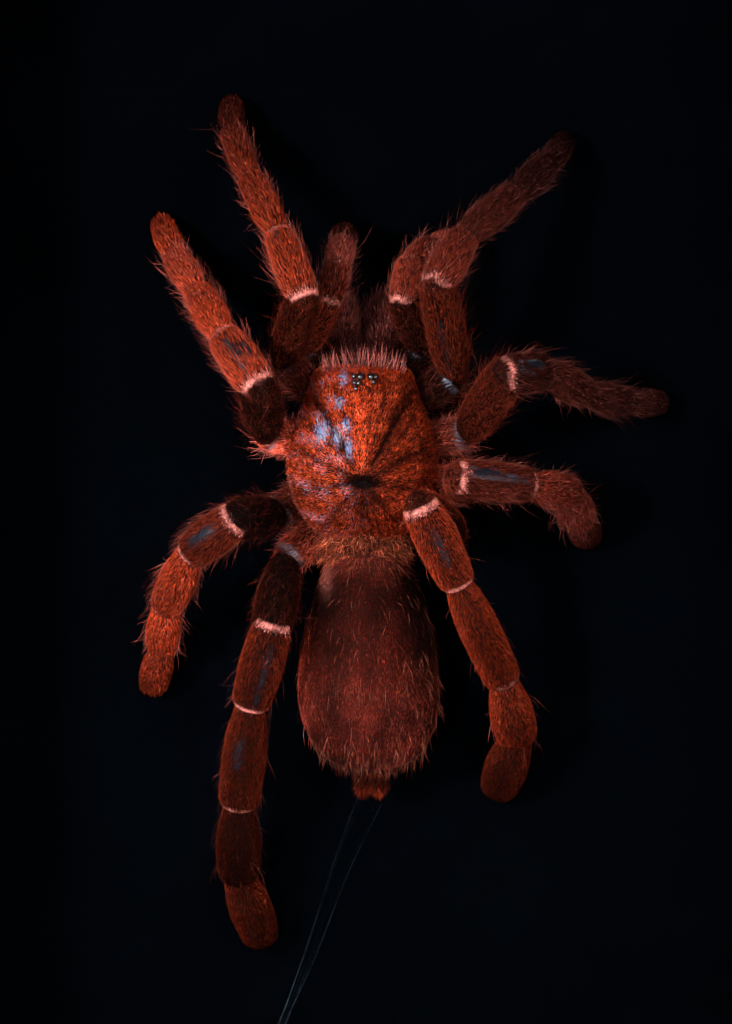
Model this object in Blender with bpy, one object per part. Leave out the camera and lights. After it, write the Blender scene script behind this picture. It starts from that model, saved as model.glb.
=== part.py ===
"""A dried tarantula fixed on a black board behind the glass of a deep shadow-box frame.

The frame stands upright on its bottom rail. Its glass faces -Y, and the origin is
on the surface that it stands on, under the middle of its box. The spider is
described in millimetres from the middle of the board: x to the viewer's right,
up towards the top rail, and height from the board towards the glass. Its head
points up, so left and right in the names are those of the viewer and the spider.
"""
from math import cos, pi, radians, sin

import bmesh
import bpy
from mathutils import Vector

MM = 0.001

# The frame, in millimetres
FRAME_WIDTH = 170.0
FRAME_HEIGHT = 220.0
RAIL_WIDTH = 14.0
RAIL_DEPTH = 48.6
RAIL_CHAMFER = 1.0
SIGHT_BEVEL = 2.4
LIP_DEPTH = 4.4
GROOVE_WIDTH = 2.6
GROOVE_FLOOR = 10.5
REBATE_DEPTH = 41.7
REBATE_LEDGE = 8.5
GAP = 0.3
MITRE_GAP = 0.21
GLASS_THICK = GROOVE_WIDTH - 2 * GAP
BOARD_THICK = 2.0
PANEL_THICK = 3.0

# The fittings at the back, in millimetres
POINT_LONG = 8.0
POINT_WIDE = 5.0
POINT_THICK = 0.5
POINT_SHARES = (0.28, 0.72)
HANGER_LONG = 45.0
HANGER_TALL = 9.0
HANGER_THICK = 1.2
HANGER_TEETH = 9
TOOTH_TALL = 2.2
NAIL_RADIUS = 2.0
NAIL_HEAD = 0.8
NAIL_SPACING = 36.0
NAIL_DROP = 2.9
NAIL_SIDES = 12
HANGER_DROP = 0.8

DEPTH = RAIL_DEPTH + GAP + HANGER_THICK + NAIL_HEAD
BOARD_FRONT = REBATE_DEPTH + GAP

# The legs, from the hip to the foot: x, up, height and radius of each joint
LEG_JOINTS = {
    "leg_1_left": (
        (-6.0, 16.6, 7.5, 2.3), (-12.8, 23.2, 10.5, 2.7), (-9.6, 32.8, 25.0, 2.9),
        (-13.5, 42.8, 21.0, 2.4), (-17.9, 51.7, 14.0, 2.2), (-20.9, 59.2, 7.5, 2.0),
        (-21.1, 64.0, 1.7, 1.9),
    ),
    "leg_2_left": (
        (-6.2, 10.9, 7.5, 2.3), (-15.4, 11.9, 10.0, 2.8), (-16.6, 19.5, 25.5, 3.4),
        (-21.9, 27.0, 22.0, 2.8), (-26.0, 34.0, 14.5, 2.4), (-29.9, 39.9, 8.0, 2.2),
        (-32.1, 45.4, 1.8, 1.9),
    ),
    "leg_3_left": (
        (-6.2, 5.1, 7.5, 2.3), (-13.8, -0.4, 9.5, 2.9), (-20.2, -1.2, 24.5, 3.4),
        (-27.0, -6.4, 20.5, 3.1), (-31.0, -14.7, 13.0, 2.8), (-31.8, -21.2, 7.5, 2.6),
        (-33.4, -27.4, 2.2, 2.4),
    ),
    "leg_4_left": (
        (-5.2, -0.6, 7.5, 2.3), (-12.4, -7.4, 10.5, 2.9), (-14.4, -17.6, 22.5, 3.5),
        (-17.8, -29.8, 19.5, 3.2), (-19.7, -45.2, 13.5, 3.4), (-19.8, -56.6, 9.0, 3.5),
        (-16.4, -66.6, 2.9, 3.1),
    ),
    "leg_1_right": (
        (6.0, 16.6, 7.5, 2.3), (13.8, 21.0, 10.5, 2.8), (10.8, 34.8, 25.0, 3.0),
        (15.0, 42.2, 21.0, 2.7), (23.0, 49.0, 14.0, 2.3), (28.6, 54.5, 8.0, 2.2),
        (31.2, 58.2, 1.7, 1.9),
    ),
    "leg_2_right": (
        (6.2, 10.9, 7.5, 2.3), (15.6, 12.2, 10.0, 2.9), (21.5, 20.9, 25.0, 3.4),
        (27.7, 21.6, 22.0, 2.9), (34.0, 18.2, 14.5, 2.5), (40.8, 17.0, 8.0, 2.3),
        (46.0, 17.1, 1.8, 2.0),
    ),
    "leg_3_right": (
        (6.2, 5.1, 7.5, 2.3), (15.4, 4.0, 9.5, 2.9), (14.8, 5.2, 24.5, 3.2),
        (25.2, 4.1, 21.0, 2.9), (31.7, 2.8, 13.5, 2.9), (33.0, -1.2, 7.0, 3.0),
        (34.8, -4.1, 2.0, 2.4),
    ),
    "leg_4_right": (
        (5.2, -0.6, 7.5, 2.3), (13.8, -3.6, 9.5, 2.9), (8.6, 0.4, 25.5, 3.5),
        (14.1, -11.0, 22.0, 3.0), (21.3, -26.1, 14.0, 3.1), (23.5, -35.0, 9.5, 3.5),
        (20.7, -43.4, 2.9, 3.2),
    ),
}
PALP_JOINTS = {
    "palp_left": (
        (-5.6, 21.6, 5.0, 1.7), (-9.1, 25.4, 7.0, 1.8), (-5.6, 32.3, 17.5, 2.1),
        (-4.3, 38.0, 16.0, 2.3), (-3.7, 41.6, 12.0, 2.2), (-3.3, 43.4, 9.0, 2.2),
    ),
    "palp_right": (
        (5.2, 21.6, 5.0, 1.7), (8.0, 25.4, 7.0, 1.8), (5.4, 32.5, 17.5, 2.2),
        (6.9, 38.6, 16.0, 2.3), (10.1, 41.0, 11.0, 2.1), (12.8, 42.2, 7.0, 2.0),
    ),
}
LIMB_SIDES = 9
LIMB_STATIONS = ((-0.52, 0.40), (-0.26, 0.78), (0.25, 1.0))
LIMB_POLE = 0.62
LIMB_SWELL = 1.03
SLANT = Vector((0.31, 0.62, 0.72))

# The body
CARAPACE_X = -0.5
CARAPACE_CENTRE_UP = 9.0
CARAPACE_HALF_OUTLINE = (
    (0.0, 23.1), (4.4, 23.1), (7.5, 22.2), (8.7, 19.2), (10.6, 14.2), (12.0, 8.6),
    (11.7, 4.0), (10.0, -0.4), (7.0, -3.6), (3.4, -4.4), (0.0, -4.2),
)
CARAPACE_DOME = (
    (0.93, 11.4), (1.0, 12.2), (0.97, 13.4), (0.88, 15.4), (0.72, 17.5),
    (0.50, 19.0), (0.25, 19.9), (0.0, 20.3),
)
STERNUM_WIDE = 3.9
STERNUM_LONG = 10.5
STERNUM_LEVELS = ((0.0, 3.2), (0.6, 3.6), (0.95, 4.6), (1.0, 7.5), (1.0, 11.4))
TUBERCLE_CENTRE = (-0.2, 20.7, 17.6)
TUBERCLE_RADII = (2.0, 1.5, 1.9)
FOVEA_CENTRE = (-0.6, 4.7, 20.4)
FOVEA_RADII = (2.7, 0.9, 1.5)
OUTLINE_STEPS = 2

ABDOMEN_RINGS = (
    (0.0, -4.8, 9.6, 1.4, 1.4), (0.0, -5.9, 9.8, 1.6, 1.6), (-0.1, -6.6, 10.4, 5.0, 4.6),
    (-0.1, -8.6, 11.0, 7.3, 7.2), (0.0, -12.6, 11.6, 9.0, 8.9), (0.2, -18.6, 12.0, 10.3, 9.9),
    (0.4, -25.5, 12.2, 11.1, 10.4), (0.5, -31.5, 12.0, 10.8, 10.0), (0.7, -36.0, 11.6, 8.9, 8.0),
    (0.8, -38.6, 11.2, 6.4, 5.6), (0.9, -39.7, 11.0, 3.4, 3.0),
)
ABDOMEN_SIDES = 20
CHELICERA_RINGS = (
    (2.8, 24.0, 8.8, 2.0, 3.2), (2.9, 25.2, 8.4, 2.4, 4.0), (3.0, 28.0, 8.0, 2.6, 4.3),
    (3.0, 30.6, 7.4, 2.5, 4.0), (2.9, 32.4, 6.6, 2.0, 3.0), (2.8, 33.3, 5.8, 1.0, 1.6),
)
CHELICERA_SIDES = 12
SPINNERET_RINGS = (
    (0.0, -39.9, 9.8, 1.0, 1.1), (0.0, -40.9, 9.6, 1.1, 1.4), (0.0, -42.4, 9.2, 1.1, 1.4),
    (0.0, -43.5, 8.9, 0.8, 1.0), (0.0, -43.9, 8.8, 0.3, 0.4),
)
SPINNERET_X = {"spinneret_left": -0.45, "spinneret_right": 2.05}
SPINNERET_SIDES = 10
SILK_ROUTE = (
    (0.8, -44.4, 8.4, 1.9), (-1.4, -50.0, 6.6, 1.6), (-4.4, -57.5, 4.6, 1.1),
    (-9.0, -69.4, 2.2, 0.8), (-12.9, -79.4, 1.0, 0.6), (-15.6, -86.5, 0.8, 0.9),
)
SILK_THICK = 0.5

COLOURS = {
    "frame_black": ((0.018, 0.018, 0.019, 1.0), 0.42, 0.0),
    "clear_glass": ((0.95, 0.97, 0.97, 1.0), 0.02, 0.0),
    "board_black": ((0.006, 0.007, 0.009, 1.0), 0.95, 0.0),
    "panel_brown": ((0.16, 0.09, 0.045, 1.0), 0.80, 0.0),
    "zinc_plate": ((0.55, 0.55, 0.56, 1.0), 0.35, 1.0),
    "carapace_orange": ((0.42, 0.11, 0.025, 1.0), 0.65, 0.0),
    "leg_rust": ((0.33, 0.09, 0.03, 1.0), 0.75, 0.0),
    "abdomen_mauve": ((0.22, 0.075, 0.05, 1.0), 0.85, 0.0),
    "chelicera_brown": ((0.10, 0.05, 0.04, 1.0), 0.80, 0.0),
    "silk_grey": ((0.45, 0.50, 0.58, 1.0), 0.40, 0.0),
}


def clear_scene():
    """Takes away whatever the scene starts with."""
    for thing in list(bpy.data.objects):
        bpy.data.objects.remove(thing, do_unlink=True)


def make_materials():
    """Makes one Principled material for each named colour."""
    made = {}
    for name, (colour, roughness, metallic) in COLOURS.items():
        material = bpy.data.materials.new(name)
        material.use_nodes = True
        shader = material.node_tree.nodes["Principled BSDF"]
        shader.inputs["Base Color"].default_value = colour
        shader.inputs["Roughness"].default_value = roughness
        shader.inputs["Metallic"].default_value = metallic
        made[name] = material
    return made


def back_from_front(depth):
    """The Y of a depth that is measured back from the frame's front face."""
    return (depth - DEPTH / 2) * MM


def on_board(x, up, height):
    """A point of the spider: its place on the board and its height above it."""
    return Vector((x * MM, back_from_front(BOARD_FRONT - height), (FRAME_HEIGHT / 2 + up) * MM))


def new_object(name, mesh, material):
    """Links a mesh into the scene under its name."""
    thing = bpy.data.objects.new(name, mesh)
    mesh.materials.append(material)
    bpy.context.collection.objects.link(thing)
    return thing


def body_from_rings(name, rings, material):
    """Skins rings of points one after another; a ring of one point is a pole."""
    shape = bmesh.new()
    corners = [[shape.verts.new(point) for point in ring] for ring in rings]
    for first, second in zip(corners, corners[1:]):
        count = max(len(first), len(second))
        for i in range(count):
            j = (i + 1) % count
            if len(first) == 1:
                shape.faces.new((first[0], second[i], second[j]))
            elif len(second) == 1:
                shape.faces.new((first[j], first[i], second[0]))
            else:
                shape.faces.new((first[j], first[i], second[i], second[j]))
    for ring in (corners[0], corners[-1]):
        if len(ring) > 1:
            shape.faces.new(ring)
    bmesh.ops.recalc_face_normals(shape, faces=shape.faces)
    mesh = bpy.data.meshes.new(name)
    shape.to_mesh(mesh)
    shape.free()
    mesh.shade_smooth()
    mesh.set_sharp_from_angle(angle=radians(50))
    return new_object(name, mesh, material)


def boolean(target, other, operation):
    """Joins or cuts target with other, which stays in the file as a hidden helper."""
    other.hide_render = True
    other.display_type = "WIRE"
    modifier = target.modifiers.new(f"{operation.lower()} {other.name}", "BOOLEAN")
    modifier.operation = operation
    modifier.solver = "EXACT"
    modifier.object = other


def box_between(name, low, high, material):
    """A plain block between two corners in metres."""
    outline = ((low[0], low[1]), (high[0], low[1]), (high[0], high[1]), (low[0], high[1]))
    levels = [[(x, y, z) for x, y in outline] for z in (low[2], high[2])]
    return body_from_rings(name, levels, material)


def rail_profile():
    """The rail's section: how far in from the outside, and how far back from the front."""
    return (
        (0.0, RAIL_CHAMFER), (RAIL_CHAMFER, 0.0), (RAIL_WIDTH - SIGHT_BEVEL, 0.0),
        (RAIL_WIDTH, SIGHT_BEVEL), (RAIL_WIDTH, LIP_DEPTH), (GROOVE_FLOOR, LIP_DEPTH),
        (GROOVE_FLOOR, LIP_DEPTH + GROOVE_WIDTH), (RAIL_WIDTH, LIP_DEPTH + GROOVE_WIDTH),
        (RAIL_WIDTH, REBATE_DEPTH), (REBATE_LEDGE, REBATE_DEPTH), (REBATE_LEDGE, RAIL_DEPTH),
        (0.0, RAIL_DEPTH),
    )


def make_rails(material):
    """Four mitred rails, each turned about the middle of the frame from the bottom one."""
    sides = {
        "rail_bottom": (FRAME_WIDTH, FRAME_HEIGHT, 0),
        "rail_left": (FRAME_HEIGHT, FRAME_WIDTH, 1),
        "rail_top": (FRAME_WIDTH, FRAME_HEIGHT, 2),
        "rail_right": (FRAME_HEIGHT, FRAME_WIDTH, 3),
    }
    for name, (length, across, quarter_turns) in sides.items():
        ends = []
        for end in (-1, 1):
            reach = end * (length / 2 - MITRE_GAP)
            ends.append([
                ((reach - end * inward) * MM, back_from_front(back), (inward - across / 2) * MM)
                for inward, back in rail_profile()
            ])
        rail = body_from_rings(name, ends, material)
        rail.location = (0, 0, FRAME_HEIGHT / 2 * MM)
        rail.rotation_euler = (0, quarter_turns * pi / 2, 0)


def make_sheet(name, edge, front, thick, material):
    """A flat sheet in the frame, edge millimetres in from its outside."""
    half = (FRAME_WIDTH / 2 - edge) * MM
    return box_between(
        name,
        (-half, back_from_front(front), edge * MM),
        (half, back_from_front(front + thick), (FRAME_HEIGHT - edge) * MM),
        material,
    )


def make_sheets(materials):
    """The glass in its groove, and the board and the panel in the rebate behind it."""
    make_sheet("glass", GROOVE_FLOOR + GAP, LIP_DEPTH + GAP, GLASS_THICK, materials["clear_glass"])
    make_sheet("mount_board", REBATE_LEDGE + GAP, BOARD_FRONT, BOARD_THICK, materials["board_black"])
    panel_front = BOARD_FRONT + BOARD_THICK + GAP
    make_sheet("back_panel", REBATE_LEDGE + GAP, panel_front, PANEL_THICK, materials["panel_brown"])
    return panel_front + PANEL_THICK


def make_points(panel_back, material):
    """Six flat steel points that keep the panel in, two on each long side and one on each short one."""
    front = back_from_front(panel_back + GAP)
    back = back_from_front(panel_back + GAP + POINT_THICK)
    wall_x = FRAME_WIDTH / 2 - REBATE_LEDGE - GAP
    wall_low = REBATE_LEDGE + GAP
    wall_high = FRAME_HEIGHT - wall_low
    places = []
    for side in (-1, 1):
        for share in POINT_SHARES:
            low = (min(side * wall_x, side * (wall_x - POINT_LONG)), FRAME_HEIGHT * share - POINT_WIDE / 2)
            places.append((low, (low[0] + POINT_LONG, low[1] + POINT_WIDE)))
    places.append(((-POINT_WIDE / 2, wall_low), (POINT_WIDE / 2, wall_low + POINT_LONG)))
    places.append(((-POINT_WIDE / 2, wall_high - POINT_LONG), (POINT_WIDE / 2, wall_high)))
    for number, (low, high) in enumerate(places, 1):
        box_between(
            f"frame_point_{number}",
            (low[0] * MM, front, low[1] * MM),
            (high[0] * MM, back, high[1] * MM),
            material,
        )


def make_hanger(material):
    """A sawtooth hanger nailed to the back of the top rail, its teeth hanging over the rebate."""
    top = FRAME_HEIGHT - HANGER_DROP
    foot = top - HANGER_TALL
    outline = [(-HANGER_LONG / 2, top), (-HANGER_LONG / 2, foot)]
    pitch = HANGER_LONG / (2 * HANGER_TEETH + 1)
    for tooth in range(2 * HANGER_TEETH):
        raised = TOOTH_TALL if tooth % 2 == 0 else 0.0
        outline.append((-HANGER_LONG / 2 + pitch * (tooth + 1), foot + raised))
    outline += [(HANGER_LONG / 2, foot), (HANGER_LONG / 2, top)]
    front = RAIL_DEPTH + GAP
    levels = [
        [(x * MM, back_from_front(back), z * MM) for x, z in outline]
        for back in (front, front + HANGER_THICK)
    ]
    hanger = body_from_rings("hanger", levels, material)
    nail_up = top - NAIL_DROP
    for side_name, side in (("left", -1), ("right", 1)):
        rings = []
        for back in (front + HANGER_THICK / 2, front + HANGER_THICK + NAIL_HEAD):
            centre = Vector((side * NAIL_SPACING / 2 * MM, back_from_front(back), nail_up * MM))
            rings.append(ring_round(centre, Vector((0, 1, 0)), NAIL_RADIUS * MM, NAIL_SIDES))
        nail = body_from_rings(f"hanger_nail_{side_name}", rings, material)
        boolean(hanger, nail, "UNION")


def ring_round(centre, along, radius, sides):
    """A round ring of points about centre, square to along."""
    across = along.cross(SLANT).normalized()
    over = along.cross(across).normalized()
    ring = []
    for i in range(sides):
        turn = 2 * pi * i / sides
        ring.append(centre + radius * (cos(turn) * across + sin(turn) * over))
    return ring


def limb_segment(name, start, end, start_radius, end_radius, material):
    """One joint of a limb: a tapered tube whose rounded ends reach past both joints."""
    along = (end - start).normalized()
    rings = [[start - along * start_radius * LIMB_POLE]]
    for past, share in LIMB_STATIONS:
        rings.append(ring_round(start + along * start_radius * past, along, start_radius * share, LIMB_SIDES))
    middle = (start + end) / 2
    waist = (start_radius + end_radius) / 2 * LIMB_SWELL
    rings.append(ring_round(middle, along, waist, LIMB_SIDES))
    for past, share in reversed(LIMB_STATIONS):
        rings.append(ring_round(end - along * end_radius * past, along, end_radius * share, LIMB_SIDES))
    rings.append([end + along * end_radius * LIMB_POLE])
    return body_from_rings(name, rings, material)


def make_limb(name, joints, material):
    """A whole leg or palp: its segments from hip to foot, joined into one dried piece."""
    points = [on_board(x, up, height) for x, up, height, radius in joints]
    radii = [joint[3] * MM for joint in joints]
    hip = None
    for number, (start, end) in enumerate(zip(points, points[1:])):
        segment_name = name if number == 0 else f"{name}_segment_{number}"
        segment = limb_segment(segment_name, start, end, radii[number], radii[number + 1], material)
        if number == 0:
            hip = segment
        else:
            boolean(hip, segment, "UNION")


def smooth_closed(points, steps):
    """Points on a closed curve through the given ones, steps to each span."""
    count = len(points)
    curve = []
    for i in range(count):
        before, start, end, after = (Vector(points[(i + k) % count]) for k in (-1, 0, 1, 2))
        slope = (end - before) / 2
        bend = before - 2.5 * start + 2 * end - after / 2
        twist = 1.5 * (start - end) + (after - before) / 2
        for step in range(steps):
            t = step / steps
            curve.append(start + t * (slope + t * (bend + t * twist)))
    return curve


def ellipsoid(name, centre, radii, sides, levels, material):
    """A closed ellipsoid about a point of the spider; radii are across, up and in height."""
    x, up, height = centre
    rings = [[on_board(x, up, height - radii[2])]]
    for level in range(1, levels):
        tilt = pi * level / levels
        rings.append([
            on_board(
                x + radii[0] * sin(tilt) * cos(2 * pi * i / sides),
                up + radii[1] * sin(tilt) * sin(2 * pi * i / sides),
                height - radii[2] * cos(tilt),
            )
            for i in range(sides)
        ])
    rings.append([on_board(x, up, height + radii[2])])
    return body_from_rings(name, rings, material)


def make_cephalothorax(material):
    """The carapace's dome over the sternum, with the eye tubercle on it and the pit in its middle."""
    right = list(CARAPACE_HALF_OUTLINE)
    left = [(-x, up) for x, up in reversed(right[1:-1])]
    outline = smooth_closed(right + left, OUTLINE_STEPS)
    count = len(outline)
    rings = []
    for share, height in STERNUM_LEVELS:
        ring = [
            on_board(
                CARAPACE_X + STERNUM_WIDE * share * sin(2 * pi * i / count),
                CARAPACE_CENTRE_UP + STERNUM_LONG * share * cos(2 * pi * i / count),
                height,
            )
            for i in range(count)
        ]
        rings.append(ring if share else ring[:1])
    for share, height in CARAPACE_DOME:
        ring = [
            on_board(CARAPACE_X + x * share, CARAPACE_CENTRE_UP + (up - CARAPACE_CENTRE_UP) * share, height)
            for x, up in outline
        ]
        rings.append(ring if share else ring[:1])
    body = body_from_rings("cephalothorax", rings, material)
    tubercle = ellipsoid("eye_tubercle", TUBERCLE_CENTRE, TUBERCLE_RADII, 14, 8, material)
    boolean(body, tubercle, "UNION")
    fovea = ellipsoid("fovea", FOVEA_CENTRE, FOVEA_RADII, 12, 6, material)
    boolean(body, fovea, "DIFFERENCE")


def ring_across(x, up, height, half_width, half_height, sides):
    """An upright oval section of the body, square to its length."""
    turns = [2 * pi * i / sides for i in range(sides)]
    return [on_board(x + half_width * cos(turn), up, height + half_height * sin(turn)) for turn in turns]


def make_body_parts(materials):
    """The abdomen with its waist, the two jaws and the two spinnerets."""
    rings = [ring_across(*row, ABDOMEN_SIDES) for row in ABDOMEN_RINGS]
    body_from_rings("abdomen", rings, materials["abdomen_mauve"])
    for name, side in (("chelicera_left", -1), ("chelicera_right", 1)):
        rings = [
            ring_across(CARAPACE_X + side * x, up, height, wide, tall, CHELICERA_SIDES)
            for x, up, height, wide, tall in CHELICERA_RINGS
        ]
        body_from_rings(name, rings, materials["chelicera_brown"])
    for name, middle in SPINNERET_X.items():
        rings = [
            ring_across(middle, up, height, wide, tall, SPINNERET_SIDES)
            for x, up, height, wide, tall in SPINNERET_RINGS
        ]
        body_from_rings(name, rings, materials["leg_rust"])


def make_silk(material):
    """The drawn silk: one thin tapering band from the spinnerets down to the board."""
    rings = []
    for x, up, height, half_width in SILK_ROUTE:
        rings.append([
            on_board(x + side * half_width, up + side * half_width * 0.4, height + lift * SILK_THICK / 2)
            for side, lift in ((-1, -1), (1, -1), (1, 1), (-1, 1))
        ])
    body_from_rings("silk", rings, material)


clear_scene()
materials = make_materials()
make_rails(materials["frame_black"])
panel_back = make_sheets(materials)
make_points(panel_back, materials["zinc_plate"])
make_hanger(materials["zinc_plate"])
for limb, joints in {**LEG_JOINTS, **PALP_JOINTS}.items():
    make_limb(limb, joints, materials["leg_rust"])
make_cephalothorax(materials["carapace_orange"])
make_body_parts(materials)
make_silk(materials["silk_grey"])
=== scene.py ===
# %% [markdown]
# A dried tarantula in a deep black frame
#
# The object is a box frame with a spider fixed on a black board behind glass.
# The construction model gives the rails, the glass, the board and the plain solids
# of the spider. This script keeps the frame's pieces and gives them their finish,
# and it makes the spider again as fine skins covered in fur. Every shape is worked
# out with numpy, in millimetres from the middle of the board, and only the last
# step turns it into metres in the frame.

# %% Load the frame
import math

import bpy
import numpy as np
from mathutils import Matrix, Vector


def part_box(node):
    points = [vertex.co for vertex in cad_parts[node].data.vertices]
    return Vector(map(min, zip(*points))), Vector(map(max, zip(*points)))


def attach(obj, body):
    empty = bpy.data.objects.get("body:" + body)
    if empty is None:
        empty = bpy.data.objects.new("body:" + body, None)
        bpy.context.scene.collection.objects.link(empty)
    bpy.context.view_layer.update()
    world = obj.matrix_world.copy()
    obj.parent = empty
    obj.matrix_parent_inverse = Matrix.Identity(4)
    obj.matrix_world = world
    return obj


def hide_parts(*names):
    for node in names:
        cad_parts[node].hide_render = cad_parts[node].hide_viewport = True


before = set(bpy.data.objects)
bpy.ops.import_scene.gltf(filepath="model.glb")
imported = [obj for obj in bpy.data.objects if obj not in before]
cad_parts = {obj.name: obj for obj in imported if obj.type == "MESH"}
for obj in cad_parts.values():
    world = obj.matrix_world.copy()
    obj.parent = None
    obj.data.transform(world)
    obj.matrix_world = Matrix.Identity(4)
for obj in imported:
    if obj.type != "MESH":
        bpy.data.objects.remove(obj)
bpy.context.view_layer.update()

# %% [markdown]
# Where things are
#
# The spider lies on the front of the board, so the board's box gives both the
# plane that heights are measured from and the middle that x and up start at.
# Seen from the front, x, up and height are right, up and towards the eye, which
# is a right-handed set, so shapes keep their handedness when they are turned
# into metres.

# %% The board's plane
MM = 0.001
BOARD_LOW, BOARD_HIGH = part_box("mount_board")
BOARD_Y = BOARD_LOW[1]
MIDDLE_Z = (BOARD_LOW[2] + BOARD_HIGH[2]) / 2


def to_metres(points):
    """Turns (x, up, height) in millimetres into the frame's x, y, z in metres."""
    placed = np.empty(points.shape, np.float32)
    placed[..., 0] = points[..., 0] * MM
    placed[..., 1] = BOARD_Y - points[..., 2] * MM
    placed[..., 2] = MIDDLE_Z + points[..., 1] * MM
    return placed


print("board front at y", round(BOARD_Y, 5), "middle at z", round(MIDDLE_Z, 5))

# %% [markdown]
# The camera
#
# The photograph looks straight down on the spider with a long lens. One pixel
# covers 0.155 mm of the body, so the lens follows from how far away the camera
# stands. A long distance keeps the raised knees from growing against the feet.

# %% The camera
PIXEL_MM = 0.155
PHOTO_TALL = 1024
CAMERA_AWAY = 900.0
BODY_HEIGHT = 12.0
SENSOR = 36.0

camera_data = bpy.data.cameras.new("camera")
camera = bpy.data.objects.new("camera", camera_data)
bpy.context.collection.objects.link(camera)
bpy.context.scene.camera = camera
camera.location = (0, BOARD_Y - CAMERA_AWAY * MM, MIDDLE_Z)
camera.rotation_euler = (math.pi / 2, 0, 0)
camera_data.sensor_width = SENSOR
camera_data.lens = SENSOR * (CAMERA_AWAY - BODY_HEIGHT) / (PHOTO_TALL * PIXEL_MM)
print("lens", round(camera_data.lens, 1))

# %% [markdown]
# Floor and light
#
# The frame stands on a pale floor. One lamp at the left is the main light, as the
# sheen on the left of the spider's back shows, and a weaker one on the right lights
# the far edges of the legs. Both stand so far off the camera's axis that neither is
# mirrored in the glass, but not so far that a rail throws its shadow on the feet. A
# third, small and low, reaches the left edge of the abdomen under the hind leg that
# shades it. The world stays dim, because a bright one would lie over the black
# board as a grey veil.


# %% Floor, lamps and world
def finish_material(name, constants):
    """A material, its node tree and its Principled shader, with constants on its sockets."""
    material = bpy.data.materials.new(name)
    material.use_nodes = True
    shader = material.node_tree.nodes["Principled BSDF"]
    for socket, value in constants.items():
        shader.inputs[socket].default_value = value
    return material, material.node_tree, shader


def area_lamp(name, place, power, size, colour, target, fan=180):
    """A square area lamp at place, turned towards target, whose light fans out over fan degrees."""
    data = bpy.data.lights.new(name, "AREA")
    data.energy = power
    data.size = size
    data.color = colour
    data.spread = math.radians(fan)
    lamp = bpy.data.objects.new(name, data)
    lamp.location = place
    lamp.rotation_euler = (Vector(place) - Vector(target)).to_track_quat("Z", "Y").to_euler()
    bpy.context.collection.objects.link(lamp)


FLOOR_HALF = 3.0
FLOOR_FINISH = {"Base Color": (0.62, 0.61, 0.59, 1), "Roughness": 0.7}
floor_mesh = bpy.data.meshes.new("floor")
floor_corners = [(across * FLOOR_HALF, deep * FLOOR_HALF, 0)
                 for across, deep in ((-1, -1), (1, -1), (1, 1), (-1, 1))]
floor_mesh.from_pydata(floor_corners, [], [(0, 1, 2, 3)])
floor_mesh.materials.append(finish_material("floor_pale", FLOOR_FINISH)[0])
floor = bpy.data.objects.new("floor", floor_mesh)
bpy.context.collection.objects.link(floor)

SPIDER = (0, BOARD_Y, MIDDLE_Z)
area_lamp("key_lamp", (-0.47, -0.66, 0.20), 1.0, 0.10, (1.0, 0.97, 0.95), SPIDER, 60)
area_lamp("side_lamp", (0.37, -0.70, 0.24), 0.21, 0.10, (1.0, 0.93, 0.88), SPIDER, 60)
area_lamp("low_lamp", (-0.19, -0.66, 0.03), 0.018, 0.05, (1.0, 0.95, 0.92),
          (-0.012, BOARD_Y, MIDDLE_Z - 0.035), 12)
area_lamp("back_lamp", (0.3, 1.2, 1.1), 20.0, 0.8, (1.0, 0.98, 0.96), (0, 0, 0.1))

world = bpy.data.worlds.new("studio")
bpy.context.scene.world = world
world.use_nodes = True
background = world.node_tree.nodes["Background"].inputs
background["Color"].default_value = (0.86, 0.92, 1.0, 1)
background["Strength"].default_value = 0.05
bpy.context.scene.view_settings.view_transform = "Standard"

# %% [markdown]
# Surfaces and hairs as arrays
#
# A surface here is a dictionary of arrays: its points, its faces and one value
# per point for whatever the fur or the material needs, such as which way the hair
# lies. A limb or a body is a stack of closed rings whose first and last shrink to
# a pole. Hairs are scattered over a surface by area. The short ones are flat
# blades of four faces and the long ones are three-sided spindles that bend, both
# closed meshes, because curves and particles are lost in export. Every use of
# random numbers has a seed of its own, so each run gives the same hairs.


# %% Closed rings
SEEDS = {"abdomen_tones": 3, "carapace_tones": 5, "carapace_hairs": 7, "abdomen_hairs": 11,
         "jaw_hairs": 13, "silk": 17, "limb_hairs": 100}


def seeded(use, step=0):
    """The random numbers of one use."""
    return np.random.default_rng(SEEDS[use] + step)


def unit(vectors):
    """Vectors divided by their length."""
    return vectors / np.maximum(np.linalg.norm(vectors, axis=-1, keepdims=True), 1e-9)


def smooth(low, high, value):
    """0 below low, 1 above high, and a smooth S between: 3t squared less 2t cubed."""
    t = np.clip((value - low) / (high - low), 0, 1)
    return t * t * (3 - 2 * t)


def three_corners(quads, tris):
    """All faces as triangles."""
    return np.concatenate([quads[:, [0, 1, 2]], quads[:, [0, 2, 3]], tris])


def spread(far, wide):
    """A bell curve: e to the power of minus (far / wide) squared."""
    return np.exp(-(far / wide) ** 2)


def bell(x, up, spot, wide, tall):
    """A bell curve over a spot, by the distance from it in shares of wide and tall."""
    return spread(np.hypot((x - spot[0]) / wide, (up - spot[1]) / tall), 1.0)


def clouds(points, size, rng, waves=20):
    """A soft random pattern: the sum of sines of random way and phase, about size long."""
    ways = unit(rng.normal(size=(waves, points.shape[-1])))
    ways = ways / (size * rng.uniform(0.7, 1.6, (waves, 1)))
    phases = points @ ways.T + rng.random(waves)
    return np.sin(2 * math.pi * phases).sum(axis=-1) * math.sqrt(2 / waves)


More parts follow.
